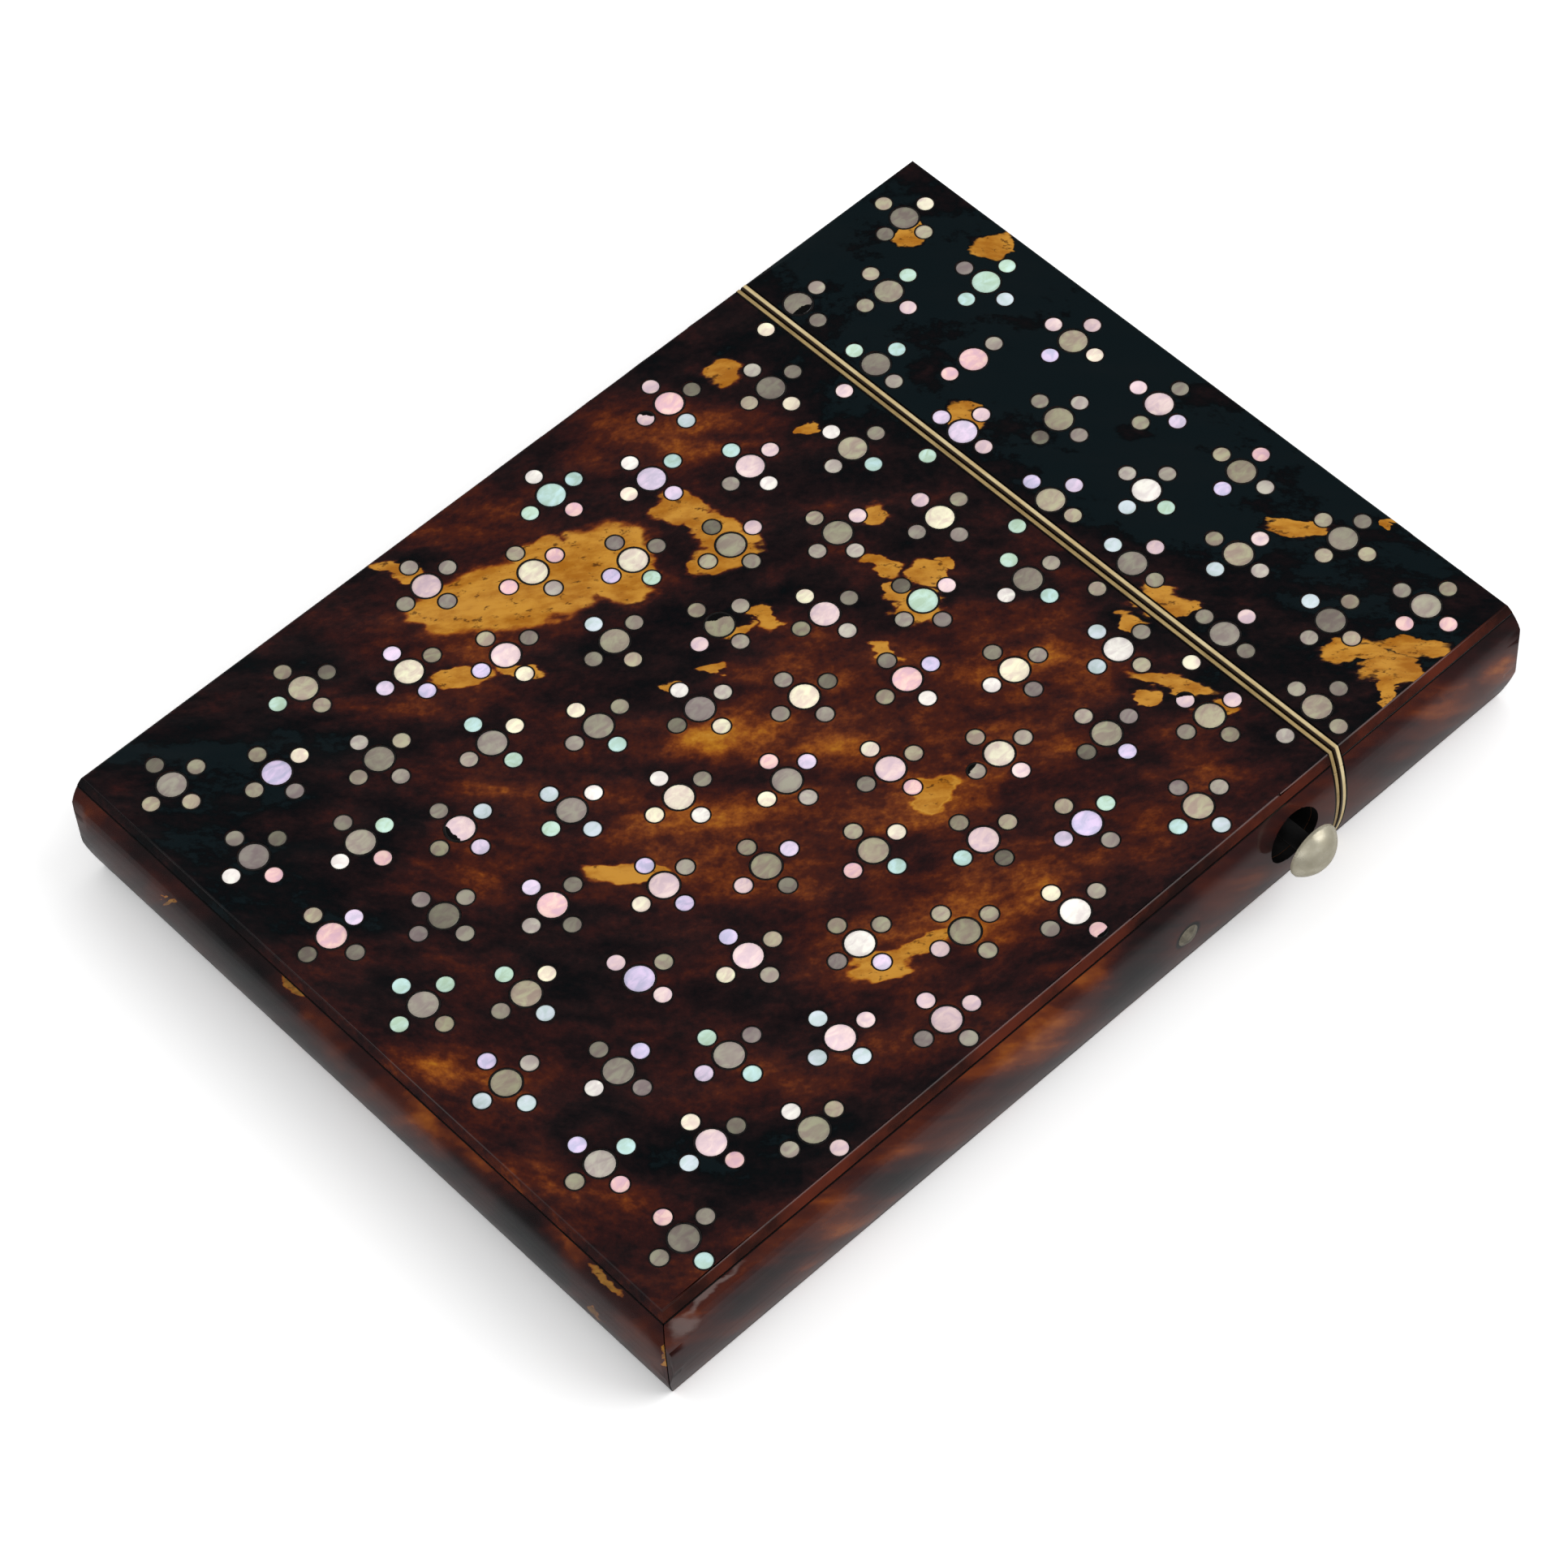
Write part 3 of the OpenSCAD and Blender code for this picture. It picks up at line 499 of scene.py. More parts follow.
def tortoiseshell(
    name, pigment, turn=FACE_TURN, lean=0.1, fan=0.00015, shift=(0, 0, 0),
    cloud=(16, 7.5), streak=(4.2, 2.8), gains=(1.05, 0.5, 0.34), honey=HONEY, blur=0.04,
    pale=(), glowing=(), dark=(), rubbed=(), shadowed=(), joints=(),
):
    """Shell of a mean pigment: broad clouds, streaks and flecks, each with a gain, then what is listed"""
    material, tree, shader = new_material(name)
    place = case_coordinates(tree, turn, shift)
    grain = fanned(tree, place, lean, fan)

    # Ragged edges: the place is pushed about by noise before any ellipse is looked up
    ragged = stretched_noise(tree, grain, *RAGGED, Detail=3.0, Roughness=0.5)
    inputs = {0: ragged.outputs["Color"], 1: (0.5, 0.5, 0.5)}
    centred = add(tree, "ShaderNodeVectorMath", inputs, operation="SUBTRACT").outputs[0]
    push = add(tree, "ShaderNodeVectorMath", {0: centred, 1: RAGGED_PUSH}, operation="MULTIPLY").outputs[0]
    pushed = add(tree, "ShaderNodeVectorMath", {0: place, 1: push}, operation="ADD").outputs[0]
    flat = add(tree, "ShaderNodeVectorMath", {0: pushed, 1: (1, 1, 0)}, operation="MULTIPLY").outputs[0]

    clouds = stretched_noise(tree, grain, *cloud, Detail=3.0, Roughness=0.5, Distortion=0.3)
    streaks = stretched_noise(tree, grain, *streak, Detail=2.0, Roughness=0.5, Distortion=0.3)
    flecks = stretched_noise(tree, grain, *FLECK, Detail=2.0, Roughness=0.6)
    density = pigment - sum(gains) / 2
    for noise, gain in zip((clouds, streaks, flecks), gains):
        density = math_node(tree, "MULTIPLY_ADD", noise.outputs["Fac"], gain, density)
    for sign, rows in ((-1, glowing), (1, dark)):
        for *ellipse, weight in rows:
            field = soft_ellipse(tree, flat, *ellipse)
            density = math_node(tree, "MULTIPLY_ADD", field, sign * weight, density)
    if pale:
        patch = union(tree, flat, pale)
        density = math_node(tree, "SUBTRACT", density, smooth_range(tree, patch, *HALO_SPAN, 0.0, HALO))
    ramp = add(tree, "ShaderNodeValToRGB", {0: density})
    fill_ramp(ramp.color_ramp, SHELL_RAMP)
    colour = ramp.outputs["Color"]

    if pale:
        mottle = stretched_noise(tree, grain, *MOTTLE, Detail=5.0, Roughness=0.6).outputs["Fac"]
        clear = mixed(tree, smooth_range(tree, mottle, *MOTTLE_SPAN), linear(honey[0]), linear(honey[1]))
        specks = stretched_noise(tree, grain, *SPECKS, Detail=3.0, Roughness=0.6).outputs["Fac"]
        spotted = smooth_range(tree, specks, *SPECK_SPAN, 0.0, SPECK_WEIGHT)
        clear = mixed(tree, spotted, clear, linear(SPECK))
        edge = smooth_range(tree, patch, PATCH_EDGE - blur, PATCH_EDGE + blur)
        colour = mixed(tree, edge, colour, clear)
    gloss = stretched_noise(tree, grain, *POLISH, Detail=4.0, Roughness=0.6).outputs["Fac"]
    roughness = smooth_range(tree, gloss, *NOISE_SPAN, *POLISH_ROUGHNESS)
    # Rubbed patch: rougher, with a painted highlight in its pale colour
    if rubbed:
        worn = smooth_range(tree, union(tree, flat, rubbed), *RUBBED_HIGHLIGHT_SPAN, 0.0, RUBBED_HIGHLIGHT_WEIGHT)
        colour = mixed(tree, worn, colour, linear(RUBBED_HIGHLIGHT))
        roughness = math_node(tree, "MULTIPLY_ADD", worn, RUBBED_ROUGHER, roughness)
    # A ring of painted shade round the rivet's head
    if shadowed:
        exact = add(tree, "ShaderNodeVectorMath", {0: place, 1: (1, 1, 0)}, operation="MULTIPLY").outputs[0]
        painted_shade = smooth_range(tree, union(tree, exact, shadowed), *RIVET_SHADE_SPAN)
        colour = mixed(tree, painted_shade, colour, linear(GRIME_AND_SHADE))
    if joints:
        colour = mixed(tree, joint_grime(tree, joints), colour, linear(GRIME_AND_SHADE))
    tree.links.new(colour, shader.inputs["Base Color"])

    # Polish: smooth, with faint waves left by the scraper
    tree.links.new(roughness, shader.inputs["Roughness"])
    inputs = {"Height": gloss, "Strength": WAVE_STRENGTH, "Distance": WAVE_DEPTH * MM}
    tree.links.new(add(tree, "ShaderNodeBump", inputs).outputs[0], shader.inputs["Normal"])
    shader.inputs["IOR"].default_value = KERATIN_IOR
    return material


print("shell from", SHELL_RAMP[0][1], "to", SHELL_RAMP[-1][1], "in", len(SHELL_RAMP), "stops")

# %% [markdown]
# The front plates follow the photograph. The back isn't seen there, so its patches are only of the same
# kind. On the catch side u is the place along the case and v the height; on the end u is the place across
# it. The hinge side and the far end share one finish.

# %% Shell for the faces and the sides
front_shell = tortoiseshell(
    "polished tortoiseshell, front", 0.64, pale=PALE, glowing=GLOWING, dark=DARK, joints=[SEAM],
)
back_shell = tortoiseshell(
    "polished tortoiseshell, back",
    0.64,
    shift=(7, -5, 0),
    pale=[(-20, 14, 9, 3.4, 10), (-12, 17, 4, 2.4, 30), (24, -8, 6, 2.2, -15), (30, -6, 2.4, 1.6, 0),
          (5, 36, 3, 1.4, 0), (-34, -16, 2.6, 1.2, 20), (4, -30, 3.4, 1.3, 25), (44, 12, 2.2, 1.1, 0),
          (8, 3, 2.0, 1.2, 0)],
    glowing=[(-18, 12, 16, 8, 10, 0.2), (22, -10, 12, 6, -10, 0.25), (-28, -32, 12, 6, -20, 0.25),
             (0, -8, 10, 4, 0, 0.2), (12, 24, 9, 4, 20, 0.2), (-40, 4, 8, 4, 0, 0.16)],
    dark=[(34, 26, 20, 12, -20, 0.25), (-46, -8, 14, 12, 0, 0.25), (4, 46, 14, 9, 0, 0.2),
          (0, -50, 12, 7, 0, 0.2)],
    joints=[SEAM],
)
catch_shell = tortoiseshell(
    "tortoiseshell veneer, catch side",
    0.55,
    turn=LONG_SIDE_TURN,
    lean=-0.8,
    fan=0.0,
    cloud=(16, 6),
    streak=(8.0, 2.4),
    gains=(0.7, 0.34, 0.06),
    glowing=[(-26, 11, 3, 2, -60, 0.16), (-12, 11, 6, 2.4, -20, 0.18), (-8, 8.5, 4, 1.6, -40, 0.12),
             (-0.5, 12, 1.2, 2, -70, 0.14), (-43, 11, 3, 1.2, 0, 0.14), (-33, 8, 6, 3, -40, 0.08),
             (39, 9, 3, 3, -50, 0.12), (49, 7.5, 1.6, 3, 20, 0.16), (15, 4, 4, 1.2, -30, 0.06),
             (32, 11.5, 4, 1.6, 0, 0.06)],
    dark=[(-25, 5.8, 4.2, 1.5, -38, 0.3), (3, 6.5, 2.4, 5, 0, 0.26), (-42, 7.5, 5, 1.8, 0, 0.26),
          (42, 12, 2, 2, 0, 0.2), (48, 11, 2.4, 2, 0, 0.2), (8, 11, 2, 1.8, 0, 0.2), (-52, 6, 3, 4, 0, 0.1)],
    # The rubbed corner, rougher and with a painted highlight
    rubbed=[(-49.5, 10.6, 1.3, 0.9, 0), (-46.0, 11.7, 2.2, 0.35, 8)],
    # Painted shade round the rivet's head
    shadowed=[RIVET_SHADE],
    joints=[SEAM, SIDE_JOINT],
)
end_shell = tortoiseshell(
    "tortoiseshell veneer, end",
    0.62,
    turn=END_TURN,
    lean=-1.0,
    fan=0.0,
    cloud=(12, 7),
    streak=(4.0, 3.0),
    gains=(0.6, 0.3, 0.06),
    honey=VEINED_HONEY,
    blur=0.12,
    pale=[(25.8, 8.2, 1.6, 0.4, -57), (8.5, 12.4, 1.3, 0.9, 0), (-31.6, 11.4, 0.5, 1.6, 80),
          (-29.6, 4.8, 1.2, 0.45, -60), (-38.6, 9.5, 0.3, 2.4, 0)],
    glowing=[(33, 8, 5, 4, 0, 0.1), (-9, 11.5, 2, 3, -20, 0.24), (-7, 8, 3, 4, -20, 0.12),
             (3, 9, 6, 3, 0, 0.08), (-15, 12, 3, 1.4, 0, 0.18), (-26.5, 11.5, 2, 2.6, -20, 0.24),
             (5, 11, 2, 3, -20, 0.12), (20, 7, 2, 4, 0, 0.06), (-36, 8, 2, 5, 0, 0.12),
             (-19, 12, 3, 1.2, 0, 0.12)],
    dark=[(16, 8.5, 4.5, 3, 0, 0.3), (-21.5, 7, 3, 3.6, 0, 0.26), (-13, 7, 2, 3, 0, 0.12),
          (29, 11.6, 3, 1, 0, 0.14)],
    joints=[SIDE_JOINT],
)
side_shell = tortoiseshell(
    "tortoiseshell veneer, other sides", 0.56, turn=LONG_SIDE_TURN, lean=0.5, fan=0.0, shift=(3, 0, 0),
    cloud=(14, 6), streak=(7.0, 2.4), gains=(0.9, 0.4, 0.08), joints=[SEAM, SIDE_JOINT],
)
print("made", front_shell.name, "with", len(front_shell.node_tree.nodes), "nodes")

# %% [markdown]
# ## Mother-of-pearl and its cement
#
# The discs are slices of shell, turned round and laid in drilled holes, then rubbed down flush. Each slice
# comes from another place in the shell, so one is rose, the next mint, and nearly half show only a dull
# olive grey, because their layers lie the wrong way to catch the light. Geometry Nodes give every disc
# random numbers: the first picks its tint, the second makes it brighter or darker, and the third says
# whether its edge has chipped away. Another attribute says where on the disc a point lies.

# %% Mother-of-pearl
PEARL_TINTS = [
    "#8f8672", "#e6dac6", "#9a9186", "#e2b8ba", "#a89c86", "#7d756a", "#ece6df", "#b8d4c2",
    "#8a8274", "#d6bcc0", "#a3998b", "#ccc0de", "#857a76", "#e8dec4", "#978f7c", "#b4d2cc",
    "#b3aaa0", "#6f695c", "#e4cacc", "#8c8478", "#c2d0d4", "#a59a86", "#d8c8de", "#938a80",
]
# One number a disc for each of these, made with the discs further on
DISC_NUMBERS = ("pick", "tone", "chip")
CHIP_SHARE = 0.03
CHIP_SPAN = (0.85, 0.9)
CHIP_RAGGED = 0.8
LAYERS = (1.3, 0.8)
LAYER_LIGHT = (-0.12, 0.16)
LAYER_HUE = (0.46, 0.54)
DULLEST = 1.02
TONE_LIGHT = 0.26
ACROSS_LIGHT = 0.1
# Brightness inside the rim and at the edge of a disc: the darker edge is painted shade
RIM_SPAN = (0.75, 1.0)
RIM_PAINTED_SHADE = (1.04, 0.84)
PEARL_ROUGHNESS = 0.28
PEARL_IOR = 1.6


def pearl(name):
    material, tree, shader = new_material(name)
    numbers = [add(tree, "ShaderNodeAttribute", attribute_name=name) for name in DISC_NUMBERS]
    pick, tone, chip = [number.outputs["Fac"] for number in numbers]
    tints = add(tree, "ShaderNodeValToRGB", {0: pick})
    tints.color_ramp.interpolation = "CONSTANT"
    fill_ramp(tints.color_ramp, [(i / len(PEARL_TINTS), colour) for i, colour in enumerate(PEARL_TINTS)])

    # One side of a slice is brighter than the other, its layers show as faint bands, and its edge is darkened
    # with painted shade
    place = case_coordinates(tree)
    layers = stretched_noise(tree, place, *LAYERS, Detail=3.0, Roughness=0.5, Distortion=0.8).outputs["Fac"]
    around = add(tree, "ShaderNodeAttribute", attribute_name="around").outputs["Vector"]
    reach = add(tree, "ShaderNodeVectorMath", {0: around}, operation="LENGTH").outputs["Value"]
    across = add(tree, "ShaderNodeSeparateXYZ", {0: around}).outputs[0]
    bright = math_node(tree, "MULTIPLY_ADD", tone, TONE_LIGHT, DULLEST)
    bright = math_node(tree, "MULTIPLY_ADD", across, ACROSS_LIGHT, bright)
    bright = math_node(tree, "ADD", bright, smooth_range(tree, layers, *NOISE_SPAN, *LAYER_LIGHT))
    inputs = {
        "Color": tints.outputs["Color"],
        "Hue": smooth_range(tree, layers, *NOISE_SPAN, *LAYER_HUE),
        "Value": math_node(tree, "MULTIPLY", bright, smooth_range(tree, reach, *RIM_SPAN, *RIM_PAINTED_SHADE)),
    }
    sheen = add(tree, "ShaderNodeHueSaturation", inputs).outputs["Color"]
    bite = smooth_range(tree, math_node(tree, "MULTIPLY_ADD", layers, CHIP_RAGGED, across), *CHIP_SPAN)
    chipped = math_node(tree, "MULTIPLY", bite, math_node(tree, "LESS_THAN", chip, CHIP_SHARE))
    tree.links.new(mixed(tree, chipped, sheen, linear(GRIME_AND_SHADE)), shader.inputs["Base Color"])
    shader.inputs["Roughness"].default_value = PEARL_ROUGHNESS
    shader.inputs["IOR"].default_value = PEARL_IOR
    return material


nacre = pearl("mother-of-pearl")
print("pearl in", len(PEARL_TINTS), "tints")

# %% [markdown]
# ## Ivory, silver, wood and silk
#
# The rest are simple stuffs: two colours that noise mixes, with the same noise in roughness and relief. The
# ivory of the body is the darker one, and dirt stands in the gap between the lips. The nickel silver is
# bright where fingers rub it and dull elsewhere; inside are walnut boards and a red ribbed silk.

# %% Cement and the other finishes
JOINT_STAIN = "#2a1c10"
RELIEF = 0.6


def plain_finish(name, colours, length, height_mm, roughness, bump=0.0, metallic=0.0, joints=()):
    """A finish of two colours that noise mixes, with the same noise in its roughness and bump"""
    material, tree, shader = new_material(name)
    place = case_coordinates(tree)
    grain = stretched_noise(tree, place, length, height_mm, Detail=5.0, Roughness=0.6).outputs["Fac"]
    colour = mixed(tree, smooth_range(tree, grain, *NOISE_SPAN), linear(colours[0]), linear(colours[1]))
    if joints:
        colour = mixed(tree, joint_grime(tree, joints), colour, linear(JOINT_STAIN))
    tree.links.new(colour, shader.inputs["Base Color"])
    tree.links.new(smooth_range(tree, grain, *NOISE_SPAN, *roughness), shader.inputs["Roughness"])
    shader.inputs["Metallic"].default_value = metallic
    if bump:
        relief = add(tree, "ShaderNodeBump", {"Height": grain, "Strength": RELIEF, "Distance": bump * MM})
        tree.links.new(relief.outputs[0], shader.inputs["Normal"])
    return material


# Axis, middle, half distance and reach: the gap between the lips, and where they meet the shell
LIP_JOINTS = [(0, SEAM[1], 0.0, 0.15), (0, SEAM[1], SEAM[2], 0.05)]
# Colours, length and height of the grain in mm, roughness
cement = plain_finish("dark lac cement", ("#0b0808", "#1a1210"), 0.6, 0.6, (0.4, 0.6), bump=0.02)
thin_edge = plain_finish("edge of the shell plate", ("#5a2415", "#1c0a08"), 7.0, 7.0, (0.2, 0.3), bump=0.01)
IVORY = {"aged ivory, body": ("#b29a68", "#8f7748"), "aged ivory, lid": ("#ddcb9e", "#c2a872")}
body_ivory, lid_ivory = [
    plain_finish(ivory, colours, 0.6, 3.0, (0.3, 0.45), bump=0.01, joints=LIP_JOINTS)
    for ivory, colours in IVORY.items()
]
nickel = plain_finish(
    "worn nickel silver", ("#b9b4a2", "#8f8b7a"), 1.2, 0.5, (0.25, 0.42), bump=0.01, metallic=1.0
)
button_silver = plain_finish("rubbed silver", ("#dcd5bf", "#c4bca4"), 1.6, 1.2, (0.26, 0.34), metallic=0.5)
rivet_silver = plain_finish("tarnished silver", ("#98917f", "#6a6458"), 0.8, 0.6, (0.3, 0.45), metallic=0.5)
# Painted shade, near black, for the recess behind the button and for the button's stem
recess_shade = plain_finish("dirt of the recess", ("#020101", "#070403"), 0.8, 0.8, (0.8, 0.95), bump=0.02)
hardwood = plain_finish("thin walnut board", ("#8a5a34", "#5f3a20"), 9.0, 0.5, (0.5, 0.7), bump=0.03)
silk = plain_finish("ribbed silk", ("#8c2f3c", "#6f2230"), 20.0, 0.45, (0.55, 0.75), bump=0.06)
print("made", len(bpy.data.materials), "finishes")

# %% [markdown]
# ## Giving the kept pieces their finish
#
# Boards, rails, linings and tongues have the right shape already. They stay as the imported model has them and
# only take a material.

# %% A material for every node
SLOT_FINISH = {
    "shell": side_shell,
    "pearl": nacre,
    "ivory": body_ivory,
    "wood": hardwood,
    "silk": silk,
    "nickel": nickel,
}
NODE_FINISH = {
    "body_catch_side_veneer": catch_shell,
    "lid_catch_side_veneer": catch_shell,
    "body_end_veneer": end_shell,
    "catch_button": button_silver,
    "catch_rivet": rivet_silver,
}
slot_of = {row["node"]: row["material_slot"] for row in frame["record"]["subparts"]}
body_of = {n: b for b, members in frame["record"]["behaviour"]["bodies"].items() for n in members}
for name, node in NODES.items():
    finish = NODE_FINISH.get(name, SLOT_FINISH[slot_of[name]])
    if name.endswith("_plate"):
        finish = front_shell if "front" in name else back_shell
    if "ivory" in slot_of[name] and name.startswith("lid"):
        finish = lid_ivory
    node.data.materials.clear()
    node.data.materials.append(finish)
print("gave", len(NODES), "nodes their material")

# %% [markdown]
# Where an edge shows, a merged copy takes the node's place: its loose triangles are joined, flat faces
# become one face again, and a Bevel modifier rounds every sharp edge by a tenth of a millimetre, as a file
# and a polishing cloth would. Plates and veneers are first cut across into strips, which the joining leaves
# alone, so no face gets so long that the shading of its rounded edge shows as a streak.

# %% Merged and bevelled copies
WELD = 0.001 * MM
FLAT_ANGLE = 0.3
CREASE = 32
CUT_STEPS = {"veneer": 2.0, "plate": 6.0}
CUT_WELD = 1e-8
ON_CUT = 1e-7
EDGES = {"veneer": 0.12, "lip": 0.06, "lips": 0.06, "button": 0.15, "rivet": 0.06, "leaf": 0.1}


def cut_across(work, step):
    """Cut a long piece across, and return the edges of the cuts"""
    size = [max(v.co[i] for v in work.verts) - min(v.co[i] for v in work.verts) for i in range(3)]
    axis = size.index(max(size))
    start = min(v.co[axis] for v in work.verts)
    count = max(1, round(size[axis] / step))
    along = Vector([float(i == axis) for i in range(3)])
    places = [start + size[axis] * number / count for number in range(1, count)]
    for place in places:
        everything = work.verts[:] + work.edges[:] + work.faces[:]
        bmesh.ops.bisect_plane(work, geom=everything, dist=CUT_WELD, plane_co=along * place, plane_no=along)
    ends = {e: [v.co[axis] for v in e.verts] for e in work.edges}
    return {e for e in ends if any(max(abs(end - place) for end in ends[e]) < ON_CUT for place in places)}


def finished(node_name, edge, segments=2):
    """A merged and bevelled copy that stands for its node"""
    mesh = NODES[node_name].data.copy()
    work = bmesh.new()
    work.from_mesh(mesh)
    bmesh.ops.remove_doubles(work, verts=work.verts, dist=WELD)
    step = CUT_STEPS.get(node_name.split("_")[-1])
    cuts = cut_across(work, step * MM) if step else set()
    loose = [e for e in work.edges if e not in cuts]
    bmesh.ops.dissolve_limit(work, angle_limit=math.radians(FLAT_ANGLE), verts=[], edges=loose)
    bmesh.ops.recalc_face_normals(work, faces=work.faces)
    work.to_mesh(mesh)
    work.free()
    mesh.shade_smooth()
    mesh.set_sharp_from_angle(angle=math.radians(CREASE))
    piece = new_object("finished_" + node_name, mesh)
    round_edges = piece.modifiers.new("rounded edges", "BEVEL")
    round_edges.width = edge * MM
    round_edges.segments = segments
    round_edges.limit_method = "ANGLE"
    round_edges.angle_limit = math.radians(CREASE)
    round_edges.harden_normals = True
    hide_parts(node_name)
    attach(piece, body_of[node_name])
    return piece


for name in sorted(NODES):
    kind = name.split("_")[-1]
    if kind in EDGES:
        finished(name, EDGES[kind])

# %% [markdown]
# On the plates only the outer rim is rounded, not the hundreds of disc holes. So their bevel goes by a
# weight, which the edges of the face along the sides and the end get. The cut edges of the plates, where
# light comes through the thin shell, get a finish of their own.

# %% Round the rims of the four plates
RIM = 0.16
NEAR = 0.02 * MM
SIDEWAYS = 0.7


def rim_plate(node_name):
    piece = finished(node_name, RIM, segments=3)
    mesh = piece.data
    mesh.materials.append(thin_edge)
    height = [v.co.z for v in mesh.vertices]
    face_z = max(height) if "front" in node_name else min(height)
    low, high = box_of([v.co for v in mesh.vertices if abs(v.co.z - face_z) < NEAR])
    end_x = high.x if node_name.startswith("lid") else low.x
    weights = mesh.attributes.new("bevel_weight_edge", "FLOAT", "EDGE")
    for edge in mesh.edges:
        a, b = [mesh.vertices[i].co for i in edge.vertices]
        on_face = abs(a.z - face_z) < NEAR and abs(b.z - face_z) < NEAR
        along_end = abs(a.x - end_x) < NEAR and abs(b.x - end_x) < NEAR
        along_side = any(abs(a.y - y) < NEAR and abs(b.y - y) < NEAR for y in (low.y, high.y))
        if on_face and (along_end or along_side):
            weights.data[edge.index].value = 1.0
    modifier = piece.modifiers["rounded edges"]
    modifier.limit_method = "WEIGHT"
    modifier.use_clamp_overlap = False
    for polygon in mesh.polygons:
        if abs(polygon.normal.y) > SIDEWAYS:
            polygon.material_index = 1
    return sum(w.value for w in weights.data)


for name in sorted(NODES):
    if name.endswith("_plate"):
        print(name, "rim of", round(rim_plate(name)), "edges")

# %% [markdown]
# The recess behind the button is painted black as shade, and so is the button's stem.

# %% Blacken the recess behind the button
RECESS_MARGIN = 0.25 * MM
STEM_REACH = 1.2 * MM
# The most that a face may look along the button's axis, as a part of 1
STEM_SIDEWAYS = 0.5
ANY_WAY = 2.0
RAIL_EDGE = 0.05
button_low, button_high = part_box("catch_button")
button_middle = (button_low + button_high) / 2
RECESS_RADIUS = (button_high.x - button_low.x) / 2 + RECESS_MARGIN


def blacken(name, reach, most=ANY_WAY):
    """Painted shade on the faces near the button's axis"""
    mesh = bpy.data.objects["finished_" + name].data
    mesh.materials.append(recess_shade)
    for polygon in mesh.polygons:
        away = math.hypot(polygon.center.x - button_middle.x, polygon.center.z - button_middle.z)
        polygon.material_index = int(away < reach and abs(polygon.normal.y) < most)
    print(name, sum(p.material_index for p in mesh.polygons), "dirty faces")


finished("body_catch_side_rail", RAIL_EDGE)
blacken("body_catch_side_veneer", RECESS_RADIUS)
blacken("body_catch_side_rail", RECESS_RADIUS)
blacken("catch_button", STEM_REACH, STEM_SIDEWAYS)

# %% [markdown]
# ## Pearl discs by Geometry Nodes
#
# More than eight hundred discs repeat one small shape, so one tree will make them all. First, the middle and
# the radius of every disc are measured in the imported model.

# %% Where the discs are
def disc_places(node_name):
    """Centre and radius of each separate disc in a CAD node, by its loose triangles' common corners"""
    work = bmesh.new()
    work.from_mesh(NODES[node_name].data)
    bmesh.ops.remove_doubles(work, verts=work.verts, dist=WELD)
    seen, found = set(), []
    for start in work.verts:
        if start.index in seen:
            continue
        island, waiting = [], [start]
        seen.add(start.index)
        while waiting:
            vert = waiting.pop()
            island.append(vert.co)
            for edge in vert.link_edges:
                other = edge.other_vert(vert)
                if other.index not in seen:
                    seen.add(other.index)
                    waiting.append(other)
        low, high = box_of(island)
        found.append(((low + high) / 2, (high.x - low.x) / 2, low.z, high.z))
    work.free()
    return found


DISC_NODES = {
    body: [n for n in sorted(NODES) if n.endswith("_discs") and body_of[n] == body]
    for body in ("case_body", "lid")
}
discs = {n: disc_places(n) for nodes in DISC_NODES.values() for n in nodes}
for name, found in discs.items():
    print(name, len(found), "discs of", round(2 * found[0][1] / MM, 2), "mm")

# %% [markdown]
# The tree takes a cloud of points, one in the middle of each disc, that carry the disc's radius and the side
# of the case it lies on. It stands a bed of cement and a chamfered disc on every point, stores the random
# numbers, realizes the instances and sets the materials.

# %% The tree that makes the discs
SIDES = 24
SEED = 5
NUMBERS_SEED = 7.0
CEMENT_GAP = 0.06
DISC_SHARE = 0.93
CEMENT_DEPTH = 0.35
CEMENT_SUNK = 0.02
DISC_DEPTH = 0.2
CHAMFER = 0.04
CHAMFER_SCALE = 0.95


def drum(tree, sides, depth, top):
    """A closed drum of radius 1 whose top lies at that height"""
    inputs = {"Vertices": sides, "Radius": 1.0, "Depth": depth}
    solid = add(tree, "GeometryNodeMeshCylinder", inputs, fill_type="NGON")
    inputs = {"Geometry": solid.outputs["Mesh"], "Translation": (0, 0, top - depth / 2)}
    return add(tree, "GeometryNodeTransform", inputs).outputs[0], solid.outputs["Top"]


def stored(tree, geometry, name, value, kind, domain):
    """The geometry with a named value on each point or instance"""
    inputs = {"Geometry": geometry, "Name": name, "Value": value}
    return add(tree, "GeometryNodeStoreNamedAttribute", inputs, data_type=kind, domain=domain).outputs[0]


def chamfered_disc(tree, sides):
    disc, disc_top = drum(tree, sides, (DISC_DEPTH - CHAMFER) * MM, -CHAMFER * MM)
    rise = add(tree, "ShaderNodeCombineXYZ", {"Z": CHAMFER * MM}).outputs[0]
    inputs = {"Mesh": disc, "Selection": disc_top, "Offset": rise, "Offset Scale": 1.0, "Individual": False}
    eased = add(tree, "GeometryNodeExtrudeMesh", inputs).outputs
    inputs = {"Geometry": eased["Mesh"], "Selection": eased["Top"], "Scale": CHAMFER_SCALE}
    disc = add(tree, "GeometryNodeScaleElements", inputs).outputs[0]
    here = add(tree, "GeometryNodeInputPosition").outputs[0]
    return stored(tree, disc, "around", here, "FLOAT_VECTOR", "POINT")


